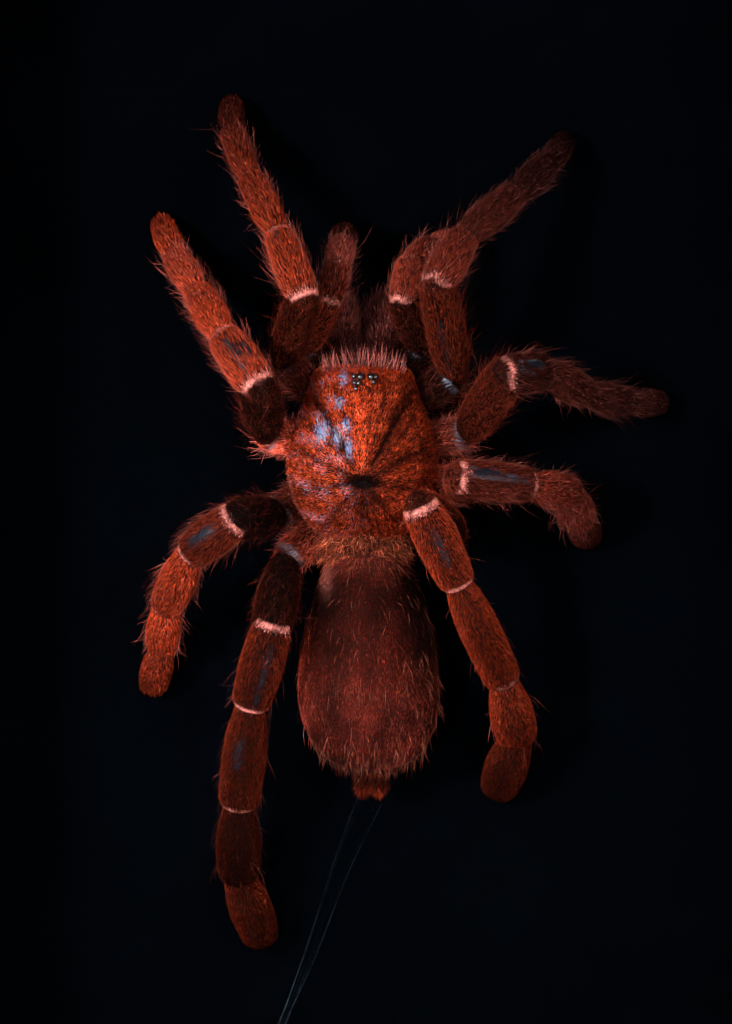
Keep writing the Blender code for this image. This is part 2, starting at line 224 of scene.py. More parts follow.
def closed_rings(rings, **fields):
    """Skins rings (stations, sides, 3): quads between rings, a fan at each pole.

    Fields are values per ring point. If the signed volume, a sixth of the sum of
    the triple products of the corners, is negative, the faces are turned round.
    """
    stations, sides = rings.shape[:2]
    turn = np.arange(sides)
    following = (turn + 1) % sides
    first = 2 + np.arange(stations - 3)[:, None] * sides
    quads = np.stack([first + turn, first + following,
                      first + sides + following, first + sides + turn], -1).reshape(-1, 4)
    last = 2 + (stations - 3) * sides
    zero = np.zeros_like(turn)
    tris = np.concatenate([
        np.stack([zero, 2 + following, 2 + turn], -1),
        np.stack([zero + 1, last + turn, last + following], -1),
    ])
    surface = {}
    for name, value in {"points": rings, **fields}.items():
        ends = value[[0, -1]].mean(axis=1)
        surface[name] = np.concatenate([ends, value[1:-1].reshape(-1, *value.shape[2:])])
    corners = surface["points"][three_corners(quads, tris)]
    if np.einsum("ij,ij->", corners[:, 0], np.cross(corners[:, 1], corners[:, 2])) < 0:
        quads = quads[:, ::-1]
        tris = tris[:, ::-1]
    surface["quads"] = quads
    surface["tris"] = tris
    return surface


def joined(surfaces):
    """Several surfaces with the same fields as one, their face numbers moved on."""
    starts = np.cumsum([0] + [len(s["points"]) for s in surfaces[:-1]])
    whole = {}
    for name in surfaces[0]:
        if name in ("quads", "tris"):
            whole[name] = np.concatenate([s[name] + start for s, start in zip(surfaces, starts)])
        else:
            whole[name] = np.concatenate([s[name] for s in surfaces])
    return whole


def face_crosses(surface):
    """All faces as triangles, with the cross product of two sides of each."""
    triangles = three_corners(surface["quads"], surface["tris"])
    corners = surface["points"][triangles]
    return triangles, np.cross(corners[:, 1] - corners[:, 0], corners[:, 2] - corners[:, 0])


def with_normals(surface):
    """Adds each point's normal: the sum of its faces' cross products, made one long."""
    triangles, facing = face_crosses(surface)
    total = np.zeros_like(surface["points"])
    for corner in range(3):
        np.add.at(total, triangles[:, corner], facing)
    surface["normal"] = unit(total)
    return surface


# %% Scattering, blades and spikes
def scattered(surface, per_mm2, rng):
    """Random places on a surface, per_mm2 of them to a square millimetre at each point.

    A triangle is drawn by its area times its density, and its area is half the
    length of its cross product. Inside it a place is (1 - u) A + u (1 - v) B +
    u v C, with u the root of a random number.
    """
    triangles, crosses = face_crosses(surface)
    area = np.linalg.norm(crosses, axis=1) / 2
    share = np.cumsum(area * per_mm2[triangles].mean(axis=1))
    count = int(share[-1])
    picked = triangles[np.searchsorted(share, rng.random(count) * share[-1])]
    u = np.sqrt(rng.random(count))
    v = rng.random(count)
    weights = np.stack([1 - u, u * (1 - v), u * v], -1)
    found = {}
    for name, value in surface.items():
        if name in ("quads", "tris"):
            continue
        if value.ndim == 2:
            found[name] = np.einsum("ij,ijk->ik", weights, value[picked])
        else:
            found[name] = np.einsum("ij,ij->i", weights, value[picked])
    return found


def chosen(places, mask):
    """The scattered places where mask is true."""
    return {name: value[mask] for name, value in places.items()}


def hair_mesh(points, faces, along, fields):
    """Hairs as one surface, from the points of each, the faces of one and values per hair."""
    count, per_hair = points.shape[:2]
    tris = (np.arange(count)[:, None, None] * per_hair + np.array(faces)).reshape(-1, 3)
    made = {"points": points.reshape(-1, 3), "quads": np.empty((0, 4), int), "tris": tris,
            "along": np.tile(along, count)}
    for name, value in fields.items():
        made[name] = np.repeat(value, per_hair)
    return made


BROADEST, ARCH = 0.34, 0.25
BLADE_FACES = ((0, 2, 1), (3, 1, 2), (0, 1, 3), (0, 3, 2))


def blades(roots, ways, normals, lengths, widths, **fields):
    """Short straight hairs of four points and four faces, one for each root.

    A blade is a kite that lies flat on the skin: root, left and right corner at
    0.34 of the length, and tip. The corners stand width / 4 higher than the line
    from root to tip, which makes it a closed, very flat tetrahedron.
    """
    side = unit(np.cross(normals, ways))
    high = np.cross(ways, side)
    middle = roots + BROADEST * lengths[:, None] * ways + ARCH * widths[:, None] * high
    half = 0.5 * widths[:, None] * side
    tips = roots + lengths[:, None] * ways
    points = np.stack([roots, middle + half, middle - half, tips], 1)
    return hair_mesh(points, BLADE_FACES, (0.0, BROADEST, BROADEST, 1.0), fields)


SPIKE_RINGS = {2: ((0.12, 0.5), (0.5, 0.36)), 3: ((0.06, 0.36, 0.7), (0.5, 0.40, 0.24))}


def spikes(roots, ways, lengths, widths, curls, steps, rng, **fields):
    """Closed three-sided hairs that bend, one for each root.

    A hair's middle line is root + length (way s + curl s squared) for s from 0 to
    1. It is a spindle, with a point at each end and two or three rings of three
    points between. SPIKE_RINGS gives their shares of the length and their half
    widths as shares of the width, which get less towards the tip.
    """
    count = len(roots)
    share, half_widths = SPIKE_RINGS[steps]
    across = unit(np.cross(ways, unit(rng.normal(size=(count, 3)))))
    over = np.cross(ways, across)
    turn = 2 * math.pi * np.arange(3) / 3
    ring = across[:, None, :] * np.cos(turn)[:, None] + over[:, None, :] * np.sin(turn)[:, None]

    def middle(s):
        return roots + lengths[:, None] * (ways * s + curls * s * s)

    points = np.empty((count, 3 * steps + 2, 3))
    points[:, 0] = middle(0.0)
    for step, s in enumerate(share):
        half = (widths * half_widths[step])[:, None, None]
        points[:, 3 * step + 1:3 * step + 4] = middle(s)[:, None, :] + ring * half
    points[:, -1] = middle(1.0)
    faces = [(0, (k + 1) % 3 + 1, k + 1) for k in range(3)]
    for step in range(steps - 1):
        for k in range(3):
            a, b = 3 * step + k + 1, 3 * step + (k + 1) % 3 + 1
            faces += [(a, b, b + 3), (a, b + 3, a + 3)]
    top = 3 * steps - 2
    faces += [(top + k, top + (k + 1) % 3, 3 * steps + 1) for k in range(3)]
    return hair_mesh(points, faces, (0.0, *np.repeat(share, 3), 1.0), fields)


# %% Writing a mesh
def new_piece(name, surface, material, slot_name, *nodes):
    """Puts a surface into a mesh at the origin, its fields as attributes, and rides it."""
    mesh = bpy.data.meshes.new(name)
    quads, tris = surface["quads"], surface["tris"]
    corners = np.concatenate([quads.ravel(), tris.ravel()]).astype(np.int32)
    starts = np.concatenate([np.arange(len(quads)) * 4, len(quads) * 4 + np.arange(len(tris)) * 3])
    mesh.vertices.add(len(surface["points"]))
    mesh.vertices.foreach_set("co", to_metres(surface["points"]).ravel())
    mesh.loops.add(len(corners))
    mesh.loops.foreach_set("vertex_index", corners)
    mesh.polygons.add(len(starts))
    mesh.polygons.foreach_set("loop_start", starts.astype(np.int32))
    mesh.update(calc_edges=True)
    mesh.shade_smooth()
    for field in ("along", "shade", "pale", "cool", "bare"):
        if field in surface:
            layer = mesh.attributes.new(field, "FLOAT", "POINT")
            layer.data.foreach_set("value", surface[field].astype(np.float32))
    mesh.materials.append(material)
    piece = bpy.data.objects.new(name, mesh)
    bpy.context.collection.objects.link(piece)
    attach(piece, "root")
    if nodes:
        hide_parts(*nodes)
    print(name, len(quads) * 2 + len(tris), "triangles")

# %% [markdown]
# The frame's finish
#
# The rails, the glass, the board, the panel and the fittings have their right
# shape already, so they only get materials. Each pattern is procedural and reads
# Object coordinates, which are metres here, so a scale of 900 gives marks a little
# over a millimetre wide. The same blotchy mixing of two colours serves for wood
# grain, paper fibre, pressed board and zinc, so it is made once, as a node group.


# %% Node helpers
def fill(tree, node, inputs):
    """Sets a node's inputs to values, or links them to outputs, and gives back its outputs."""
    for socket, value in inputs.items():
        if isinstance(value, bpy.types.NodeSocket):
            tree.links.new(value, node.inputs[socket])
        else:
            node.inputs[socket].default_value = value
    return node.outputs


def add(tree, kind, inputs=None, out=0, **settings):
    """Adds a node, sets its properties, fills its inputs and gives back one output."""
    node = tree.nodes.new(kind)
    for name, value in settings.items():
        setattr(node, name, value)
    return fill(tree, node, inputs or {})[out]


def mixed(tree, factor, first, second):
    """Two colours mixed by a factor."""
    return add(tree, "ShaderNodeMix", {0: factor, 6: first, 7: second}, 2, data_type="RGBA")


def ranged(tree, value, low, high, to_low=0.0, to_high=1.0):
    """A value moved from one range to another and held inside it."""
    return add(tree, "ShaderNodeMapRange", {0: value, 1: low, 2: high, 3: to_low, 4: to_high})


def attribute(tree, name):
    """A per-point value of the mesh."""
    return add(tree, "ShaderNodeAttribute", out=2, attribute_name=name)


def shaded(tree, colour):
    """A colour times the mesh's shade value."""
    return add(tree, "ShaderNodeVectorMath", {0: colour, "Scale": attribute(tree, "shade")},
               operation="SCALE")


def new_group(name, inputs, outputs):
    """An empty node group with named inputs and outputs."""
    group = bpy.data.node_groups.new(name, "ShaderNodeTree")
    for title, kind in inputs.items():
        group.interface.new_socket(name=title, in_out="INPUT", socket_type=kind)
    for title, kind in outputs.items():
        group.interface.new_socket(name=title, in_out="OUTPUT", socket_type=kind)
    entrance = group.nodes.new("NodeGroupInput").outputs
    way_out = group.nodes.new("NodeGroupOutput").inputs
    return group, entrance, way_out


def use_group(tree, group, inputs):
    """A group node with its inputs filled; three-part colours get full alpha."""
    node = tree.nodes.new("ShaderNodeGroup")
    node.node_tree = group
    for title, value in inputs.items():
        if node.inputs[title].type == "RGBA":
            inputs[title] = (*value, 1)
    return fill(tree, node, inputs)


def bump(tree, height, strength, distance):
    """A normal bent by a height."""
    return add(tree, "ShaderNodeBump",
               {"Height": height, "Strength": strength, "Distance": distance})


# %% The blotch group
COLOUR, NUMBER, VECTOR = "NodeSocketColor", "NodeSocketFloat", "NodeSocketVector"
blotch_group, blotch_in, blotch_out = new_group(
    "blotches", {"Stretch": VECTOR, "Detail": NUMBER, "Low": COLOUR, "High": COLOUR},
    {"Color": COLOUR, "Mask": NUMBER})
tree = blotch_group
place = add(tree, "ShaderNodeTexCoord", out=3)
place = add(tree, "ShaderNodeMapping", {"Vector": place, "Scale": blotch_in["Stretch"]})
cloud = add(tree, "ShaderNodeTexNoise",
            {"Vector": place, "Scale": 1.0, "Detail": blotch_in["Detail"], "Roughness": 0.62})
mask = ranged(tree, cloud, 0.32, 0.68)
tree.links.new(mixed(tree, mask, blotch_in["Low"], blotch_in["High"]), blotch_out["Color"])
tree.links.new(mask, blotch_out["Mask"])
print("group", blotch_group.name, len(tree.nodes), "nodes")


def blotches(tree, stretch, detail, low, high):
    """The blotch group's outputs."""
    return use_group(tree, blotch_group,
                     {"Stretch": stretch, "Detail": detail, "Low": low, "High": high})


# %% Black stained wood, black paper, pressed board and zinc
BLOTCH_DEEP = 0.0002


def blotched(name, stretch, low, high, roughness, relief, constants, detail=5.0):
    """A finish whose colour, roughness and relief all follow one blotch mask."""
    material, tree, shader = finish_material(name, constants)
    marks = blotches(tree, stretch, detail, low, high)
    fill(tree, shader, {"Base Color": marks["Color"],
                        "Roughness": ranged(tree, marks["Mask"], 0, 1, *roughness),
                        "Normal": bump(tree, marks["Mask"], relief, BLOTCH_DEEP)})
    return material


STAIN = ((0.010, 0.010, 0.011), (0.030, 0.027, 0.024), (0.26, 0.44), 0.35, {"Coat Weight": 0.15})
wood_across = blotched("black_wood_across", (45, 900, 900), *STAIN)
wood_upright = blotched("black_wood_upright", (900, 900, 45), *STAIN)
paper = blotched("black_paper", (1500, 1500, 1500), (0.00018, 0.0004, 0.00078),
                 (0.0003, 0.0006, 0.0011), (0.9, 1.0), 0.2, {"Specular IOR Level": 0.0})
pressed = blotched("pressed_board", (700, 700, 260), (0.11, 0.060, 0.030),
                   (0.20, 0.120, 0.062), (0.7, 0.9), 0.6, {}, 8.0)
zinc = blotched("zinc_plate", (180, 1400, 1400), (0.42, 0.42, 0.44),
                (0.62, 0.62, 0.63), (0.25, 0.5), 0.15, {"Metallic": 1.0})

# %% [markdown]
# The glass
#
# Picture glass of this kind has an anti-reflective coat, so almost nothing is
# mirrored in it. A low index of refraction does the same in a render. Shadow rays
# pass straight through, or the lamps would leave the spider dark.

# %% Clear glass
glass_clear, tree, shader = finish_material("clear_glass", {
    "Base Color": (0.97, 0.99, 1.0, 1), "Transmission Weight": 1.0, "IOR": 1.04})
dust = blotches(tree, (220, 220, 220), 6.0, (0, 0, 0), (1, 1, 1))
fill(tree, shader, {"Roughness": ranged(tree, dust["Mask"], 0.55, 1.0, 0.0, 0.01)})
shadow_ray = add(tree, "ShaderNodeLightPath", out=1)
through = add(tree, "ShaderNodeMixShader",
              {0: shadow_ray, 1: shader.outputs[0], 2: add(tree, "ShaderNodeBsdfTransparent")})
fill(tree, tree.nodes["Material Output"], {"Surface": through})

FRAME_FINISH = {"rail_bottom": wood_across, "rail_top": wood_across, "rail_left": wood_upright,
                "rail_right": wood_upright, "glass": glass_clear, "mount_board": paper,
                "back_panel": pressed, "hanger": zinc}
FRAME_FINISH.update({f"frame_point_{n}": zinc for n in range(1, 7)})
for node_name, material in FRAME_FINISH.items():
    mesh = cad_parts[node_name].data
    mesh.materials.clear()
    mesh.materials.append(material)
print("finished", len(FRAME_FINISH), "frame pieces")

# %% [markdown]
# Fur and hide
#
# A tarantula's hair is dark at the root, rust red along its length and paler at
# the tip, so the light edges of a leg come partly from seeing many tips edge-on
# and partly from painted rim light. The fur group mixes those colours by how far
# along its hair a point is. Three more values come with each hair: shade is its
# brightness, which holds its own tone and, in places, painted light and shade,
# pale turns it to the cream of the joint rings, and cool turns it to the
# grey-mauve of the far ends.
# The hide group does the same for the skin between the hairs, which is dark, and
# blue-black and bare in stripes on the legs. Where cool is one as well, the bare
# skin is a hip joint's membrane, in a pale blue-grey that paints its glint. On the
# carapace the bare skin's pale blue-grey colour is a painted sheen.

# %% Fur and hide groups
FUR_COLOURS = ("Root", "Body", "Tip", "Cream", "Mauve")
HIDE_COLOURS = ("Dark", "Warm", "Bare", "Membrane_glint", "Cream")
fur_group, fur_in, fur_out = new_group("fur_colour", dict.fromkeys(FUR_COLOURS, COLOUR),
                                       {"Color": COLOUR})
tree = fur_group
along = attribute(tree, "along")
hair = mixed(tree, ranged(tree, along, 0.0, 0.5), fur_in["Root"], fur_in["Body"])
hair = mixed(tree, ranged(tree, along, 0.4, 1.0), hair, fur_in["Tip"])
cool_tip = mixed(tree, ranged(tree, along, 0.0, 0.8), fur_in["Root"], fur_in["Mauve"])
hair = mixed(tree, attribute(tree, "cool"), hair, cool_tip)
cream_tip = mixed(tree, ranged(tree, along, -0.4, 0.7), fur_in["Root"], fur_in["Cream"])
hair = mixed(tree, attribute(tree, "pale"), hair, cream_tip)
tree.links.new(shaded(tree, hair), fur_out["Color"])

hide_group, hide_in, hide_out = new_group(
    "hide_colour", {**dict.fromkeys(HIDE_COLOURS, COLOUR), "Scale": NUMBER},
    {"Color": COLOUR, "Height": NUMBER})
tree = hide_group
place = add(tree, "ShaderNodeTexCoord", out=3)
grain = add(tree, "ShaderNodeTexNoise",
            {"Vector": place, "Scale": hide_in["Scale"], "Detail": 6.0, "Roughness": 0.6})
hide = mixed(tree, ranged(tree, grain, 0.35, 0.7), hide_in["Dark"], hide_in["Warm"])
hide = shaded(tree, hide)
bald = mixed(tree, attribute(tree, "cool"), hide_in["Bare"], hide_in["Membrane_glint"])
hide = mixed(tree, attribute(tree, "bare"), hide, bald)
patchy = ranged(tree, grain, 0.3, 0.6, 0.4, 1.0)
patchy_cream_and_sheen = add(tree, "ShaderNodeMath", {0: attribute(tree, "pale"), 1: patchy}, operation="MULTIPLY")
hide = mixed(tree, patchy_cream_and_sheen, hide, hide_in["Cream"])
tree.links.new(hide, hide_out["Color"])
tree.links.new(grain, hide_out["Height"])
print("groups", fur_group.name, hide_group.name)


# %% Fur and hide materials
CREAM = (0.98, 0.30, 0.25)
# The hip membrane's colour is a pale blue-grey painted glint on the glossy membrane.
MEMBRANE_GLINT = (0.20, 0.22, 0.28)
GRAIN_SCALE, GRAIN_DEEP = 2600.0, 0.0001
FUR_SHEEN, ROOT_ROUGHER = 0.03, 0.15
SKIN_ROUGHNESS, SKIN_COAT = (0.75, 0.35), (0.0, 0.16)


def fur_material(name, colours, roughness=0.45):
    """Hair of one part of the spider, from five colours."""
    material, tree, shader = finish_material(name, {"Specular IOR Level": FUR_SHEEN})
    fur = use_group(tree, fur_group, dict(zip(FUR_COLOURS, colours)))
    rough = ranged(tree, attribute(tree, "along"), 0, 1, roughness + ROOT_ROUGHER, roughness)
    fill(tree, shader, {"Base Color": fur["Color"], "Roughness": rough})
    return material


def hide_material(name, dark, warm, bare, relief, constants):
    """Skin of one part, bare and glossy where its bare value is one."""
    material, tree, shader = finish_material(name, constants)
    colours = dict(zip(HIDE_COLOURS, (dark, warm, bare, MEMBRANE_GLINT, CREAM)))
    hide = use_group(tree, hide_group, {**colours, "Scale": GRAIN_SCALE})
    bald = attribute(tree, "bare")
    fill(tree, shader, {"Base Color": hide["Color"],
                        "Roughness": ranged(tree, bald, 0, 1, *SKIN_ROUGHNESS),
                        "Coat Weight": ranged(tree, bald, 0, 1, *SKIN_COAT),
                        "Normal": bump(tree, hide["Height"], relief, GRAIN_DEEP)})
    return material


limb_fur = fur_material("limb_fur", [(0.008, 0.0015, 0.0015), (0.28, 0.026, 0.007),
                                     (0.66, 0.082, 0.024), CREAM, (0.28, 0.074, 0.064)])
limb_hide = hide_material("limb_hide", (0.014, 0.0014, 0.0008), (0.048, 0.0043, 0.0015),
                          (0.005, 0.0055, 0.0095), 0.4,
                          {"Specular IOR Level": 0.04, "Coat Roughness": 0.30})
belly_fur = fur_material("abdomen_fur", [(0.010, 0.001, 0.001), (0.14, 0.012, 0.005),
                                         (0.45, 0.052, 0.022), (0.60, 0.28, 0.18),
                                         (0.24, 0.057, 0.050)])
belly_hide = hide_material("abdomen_hide", (0.030, 0.0033, 0.0018), (0.065, 0.007, 0.004),
                           (0.20, 0.093, 0.10), 0.3, {"Specular IOR Level": 0.03})
back_fur = fur_material("carapace_velvet", [(0.014, 0.002, 0.001), (0.42, 0.036, 0.007),
                                            (0.78, 0.110, 0.024), (0.60, 0.30, 0.19),
                                            (0.42, 0.12, 0.125)], 0.42)
# The carapace's bare colour is a pale blue-grey painted sheen on the bare, glossy patches.
back_hide = hide_material("carapace_hide", (0.018, 0.002, 0.0008), (0.060, 0.0055, 0.0015),
                          (0.12, 0.15, 0.29), 0.5,
                          {"Specular IOR Level": 0.05, "Coat Roughness": 0.25})
jaw_fur = fur_material("chelicera_fur", [(0.004, 0.0015, 0.0015), (0.09, 0.014, 0.010),
                                         (0.42, 0.080, 0.060), (0.53, 0.28, 0.24),
                                         (0.20, 0.090, 0.090)])
print("fur and hide", [m.name for m in bpy.data.materials if "fur" in m.name or "hide" in m.name])

# %% [markdown]
# The limbs' bones of shape
#
# Each limb is a chain of segments. A joint is given as x, up and height over the
# board, with the limb's radius there, all in millimetres. They are the joints of
# the construction model, because the skin has to lie in its solids. The knees
# stand some 25 mm high, so seen from above a limb's first segments are short.

# %% Joints
LIMBS = {
    "leg_1_left": [(-6.0, 16.6, 7.5, 2.3), (-12.8, 23.2, 10.5, 2.7), (-9.6, 32.8, 25.0, 2.9),
                   (-13.5, 42.8, 21.0, 2.4), (-17.9, 51.7, 14.0, 2.2), (-20.9, 59.2, 7.5, 2.0),
                   (-21.1, 64.0, 1.7, 1.9)],
    "leg_2_left": [(-6.2, 10.9, 7.5, 2.3), (-15.4, 11.9, 10.0, 2.8), (-16.6, 19.5, 25.5, 3.4),
                   (-21.9, 27.0, 22.0, 2.8), (-26.0, 34.0, 14.5, 2.4), (-29.9, 39.9, 8.0, 2.2),
                   (-32.1, 45.4, 1.8, 1.9)],
    "leg_3_left": [(-6.2, 5.1, 7.5, 2.3), (-13.8, -0.4, 9.5, 2.9), (-20.2, -1.2, 24.5, 3.4),
                   (-27.0, -6.4, 20.5, 3.1), (-31.0, -14.7, 13.0, 2.8), (-31.8, -21.2, 7.5, 2.6),
                   (-33.4, -27.4, 2.2, 2.4)],
    "leg_4_left": [(-5.2, -0.6, 7.5, 2.3), (-12.4, -7.4, 10.5, 2.9), (-14.4, -17.6, 22.5, 3.5),
                   (-17.8, -29.8, 19.5, 3.2), (-19.7, -45.2, 13.5, 3.4), (-19.8, -56.6, 9.0, 3.5),
                   (-16.4, -66.6, 2.9, 3.1)],
    "leg_1_right": [(6.0, 16.6, 7.5, 2.3), (13.8, 21.0, 10.5, 2.8), (10.8, 34.8, 25.0, 3.0),
                    (15.0, 42.2, 21.0, 2.7), (23.0, 49.0, 14.0, 2.3), (28.6, 54.5, 8.0, 2.2),
                    (31.2, 58.2, 1.7, 1.9)],
    "leg_2_right": [(6.2, 10.9, 7.5, 2.3), (15.6, 12.2, 10.0, 2.9), (21.5, 20.9, 25.0, 3.4),
                    (27.7, 21.6, 22.0, 2.9), (34.0, 18.2, 14.5, 2.5), (40.8, 17.0, 8.0, 2.3),
                    (46.0, 17.1, 1.8, 2.0)],
    "leg_3_right": [(6.2, 5.1, 7.5, 2.3), (15.4, 4.0, 9.5, 2.9), (14.8, 5.2, 24.5, 3.2),
                    (25.2, 4.1, 21.0, 2.9), (31.7, 2.8, 13.5, 2.9), (33.0, -1.2, 7.0, 3.0),
                    (34.8, -4.1, 2.0, 2.4)],
    "leg_4_right": [(5.2, -0.6, 7.5, 2.3), (13.8, -3.6, 9.5, 2.9), (8.6, 0.4, 25.5, 3.5),
                    (14.1, -11.0, 22.0, 3.0), (21.3, -26.1, 14.0, 3.1), (23.5, -35.0, 9.5, 3.5),
                    (20.7, -43.4, 2.9, 3.2)],
    "palp_left": [(-5.6, 21.6, 5.0, 1.7), (-9.1, 25.4, 7.0, 1.8), (-5.6, 32.3, 17.5, 2.1),
                  (-4.3, 38.0, 16.0, 2.3), (-3.7, 41.6, 12.0, 2.2), (-3.3, 43.4, 9.0, 2.2)],
    "palp_right": [(5.2, 21.6, 5.0, 1.7), (8.0, 25.4, 7.0, 1.8), (5.4, 32.5, 17.5, 2.2),
                   (6.9, 38.6, 16.0, 2.3), (10.1, 41.0, 11.0, 2.1), (12.8, 42.2, 7.0, 2.0)],
}
print("limbs", len(LIMBS))

# %% [markdown]
# What differs from leg to leg
#
# Three short tables hold what tells the legs apart. Joint rings say how strong the
# cream ring is between thigh and knee, and at the far end of knee, shin and ankle. Tones
# give each segment's brightness and how grey-mauve it is; the brightness is partly
# the segment's own tone and partly painted light and shade from the lamp at the left.
# Bare stripes name the places on knees and shins where the dark skin shows, by
# segment, by share of its length and by how far to the side, as centre and half width.

# %% Rings, tones and stripes
RINGS = {
    "leg_1_left": (1.0, 0.8, 0.6, 0.4), "leg_2_left": (1.0, 0.7, 0.7, 0.5),
    "leg_3_left": (0.6, 0.9, 0.8, 0.2), "leg_4_left": (0.7, 0.9, 0.7, 0.0),
    "leg_1_right": (1.0, 0.5, 0.4, 0.2), "leg_2_right": (0.9, 0.6, 0.6, 0.6),
    "leg_3_right": (1.0, 0.8, 0.5, 0.0), "leg_4_right": (1.0, 1.0, 0.9, 0.0),
    "palp_left": (0.6, 0.3, 0.4, 0.0), "palp_right": (0.9, 0.3, 0.3, 0.0),
}
# The brightness of each tone is the segment's own tone together with painted light and shade from
# the lamp at the left.
TONES = {
    "leg_1_left": ((0.30, 0.4), (0.15, 0.05), (1.48, 0.05), (1.28, 0.05), (0.86, 0.15),
                   (0.56, 0.4)),
    "leg_2_left": ((2.40, 0.3), (0.055, 0.05), (1.50, 0.10), (2.30, 0.0), (2.20, 0.2), (1.75, 0.1)),
    "leg_3_left": ((0.20, 0.3), (0.02, 0.0), (0.42, 0.1), (1.70, 0.0), (2.30, 0.0), (1.25, 0.1)),
    "leg_4_left": ((0.50, 0.3), (0.03, 0.1), (0.20, 0.0), (0.19, 0.0), (0.075, 0.0), (0.24, 0.1)),
    "leg_1_right": ((0.06, 0.3), (0.24, 0.0), (1.10, 0.40), (0.62, 0.6), (0.25, 0.8), (0.25, 1.0)),
    "leg_2_right": ((0.65, 0.4), (0.19, 0.05), (0.23, 0.6), (0.56, 0.6), (0.50, 0.8), (0.62, 1.0)),
    "leg_3_right": ((1.00, 0.4), (0.50, 0.3), (0.55, 0.4), (1.35, 0.4), (1.25, 0.5), (0.45, 0.5)),
    "leg_4_right": ((0.22, 0.2), (0.17, 0.0), (0.65, 0.1), (0.52, 0.0), (0.50, 0.0), (0.19, 0.1)),
    "palp_left": ((0.06, 0.3), (0.52, 0.2), (0.75, 0.4), (2.35, 0.7), (0.20, 0.5)),
    "palp_right": ((0.02, 0.2), (0.12, 0.2), (1.40, 0.35), (1.75, 0.4), (3.10, 0.45)),
}
STRIPES = (
    ("leg_2_left", 2, 0.50, 0.42, -0.10, 0.17), ("leg_2_left", 2, 0.45, 0.28, -0.60, 0.15),
    ("leg_3_left", 2, 0.47, 0.30, -0.37, 0.28), ("leg_4_left", 2, 0.55, 0.42, 0.25, 0.18),
    ("leg_4_left", 3, 0.42, 0.20, -0.35, 0.16), ("leg_2_right", 2, 0.42, 0.30, 0.30, 0.30),
    ("leg_3_right", 2, 0.25, 0.25, 0.40, 0.32), ("leg_3_right", 2, 0.60, 0.30, 0.32, 0.14),
    ("leg_4_right", 2, 0.45, 0.24, -0.05, 0.18), ("leg_1_left", 2, 0.85, 0.10, 0.30, 0.16),
    ("leg_1_right", 1, 0.45, 0.30, -0.15, 0.10), ("leg_1_right", 1, 0.45, 0.30, 0.25, 0.10),
)
COLLARS = {"leg_2_left": 1.0, "leg_4_left": 0.8, "leg_1_right": 1.0, "leg_2_right": 0.8}
print("stripes", len(STRIPES))

# %% [markdown]
# Skin of a limb
#
# Every segment is its own closed shell that slips a little into the next, as the
# real ones do at their hinges. The shell is narrower than the limb's outline,
# since the fur fills the rest.


# %% One segment
SKIN_SHARE = 0.88
NECK, SWELL, ROUND_END = 0.24, 0.13, 0.7
STATIONS, SIDES = 26, 24
BEFORE, PAST = 0.55, 0.42
BOW = 0.08
RIM_LIGHT = {"leg_4": 2.6}
KNEE_RING, KNEE_WIDE, RING_WIDE = -0.15, 0.25, 0.30
KNEE, LAST_RINGED = 2, 4


def rounded(t):
    """A quarter of an ellipse: the root of 1 - (1 - t) squared, with t held to 0 to 1."""
    return np.sqrt(1 - (1 - np.clip(t, 0, 1)) ** 2)


def segment_axes(start, end):
    """Direction of a segment, its sideways direction and its upper side.

    Sideways is the cross product of the line to the eye and the direction.
    """
    way = unit(np.subtract(end[:3], start[:3]))
    side = unit(np.cross((0.0, 0.0, 1.0), way))
    return way, side, np.cross(way, side)


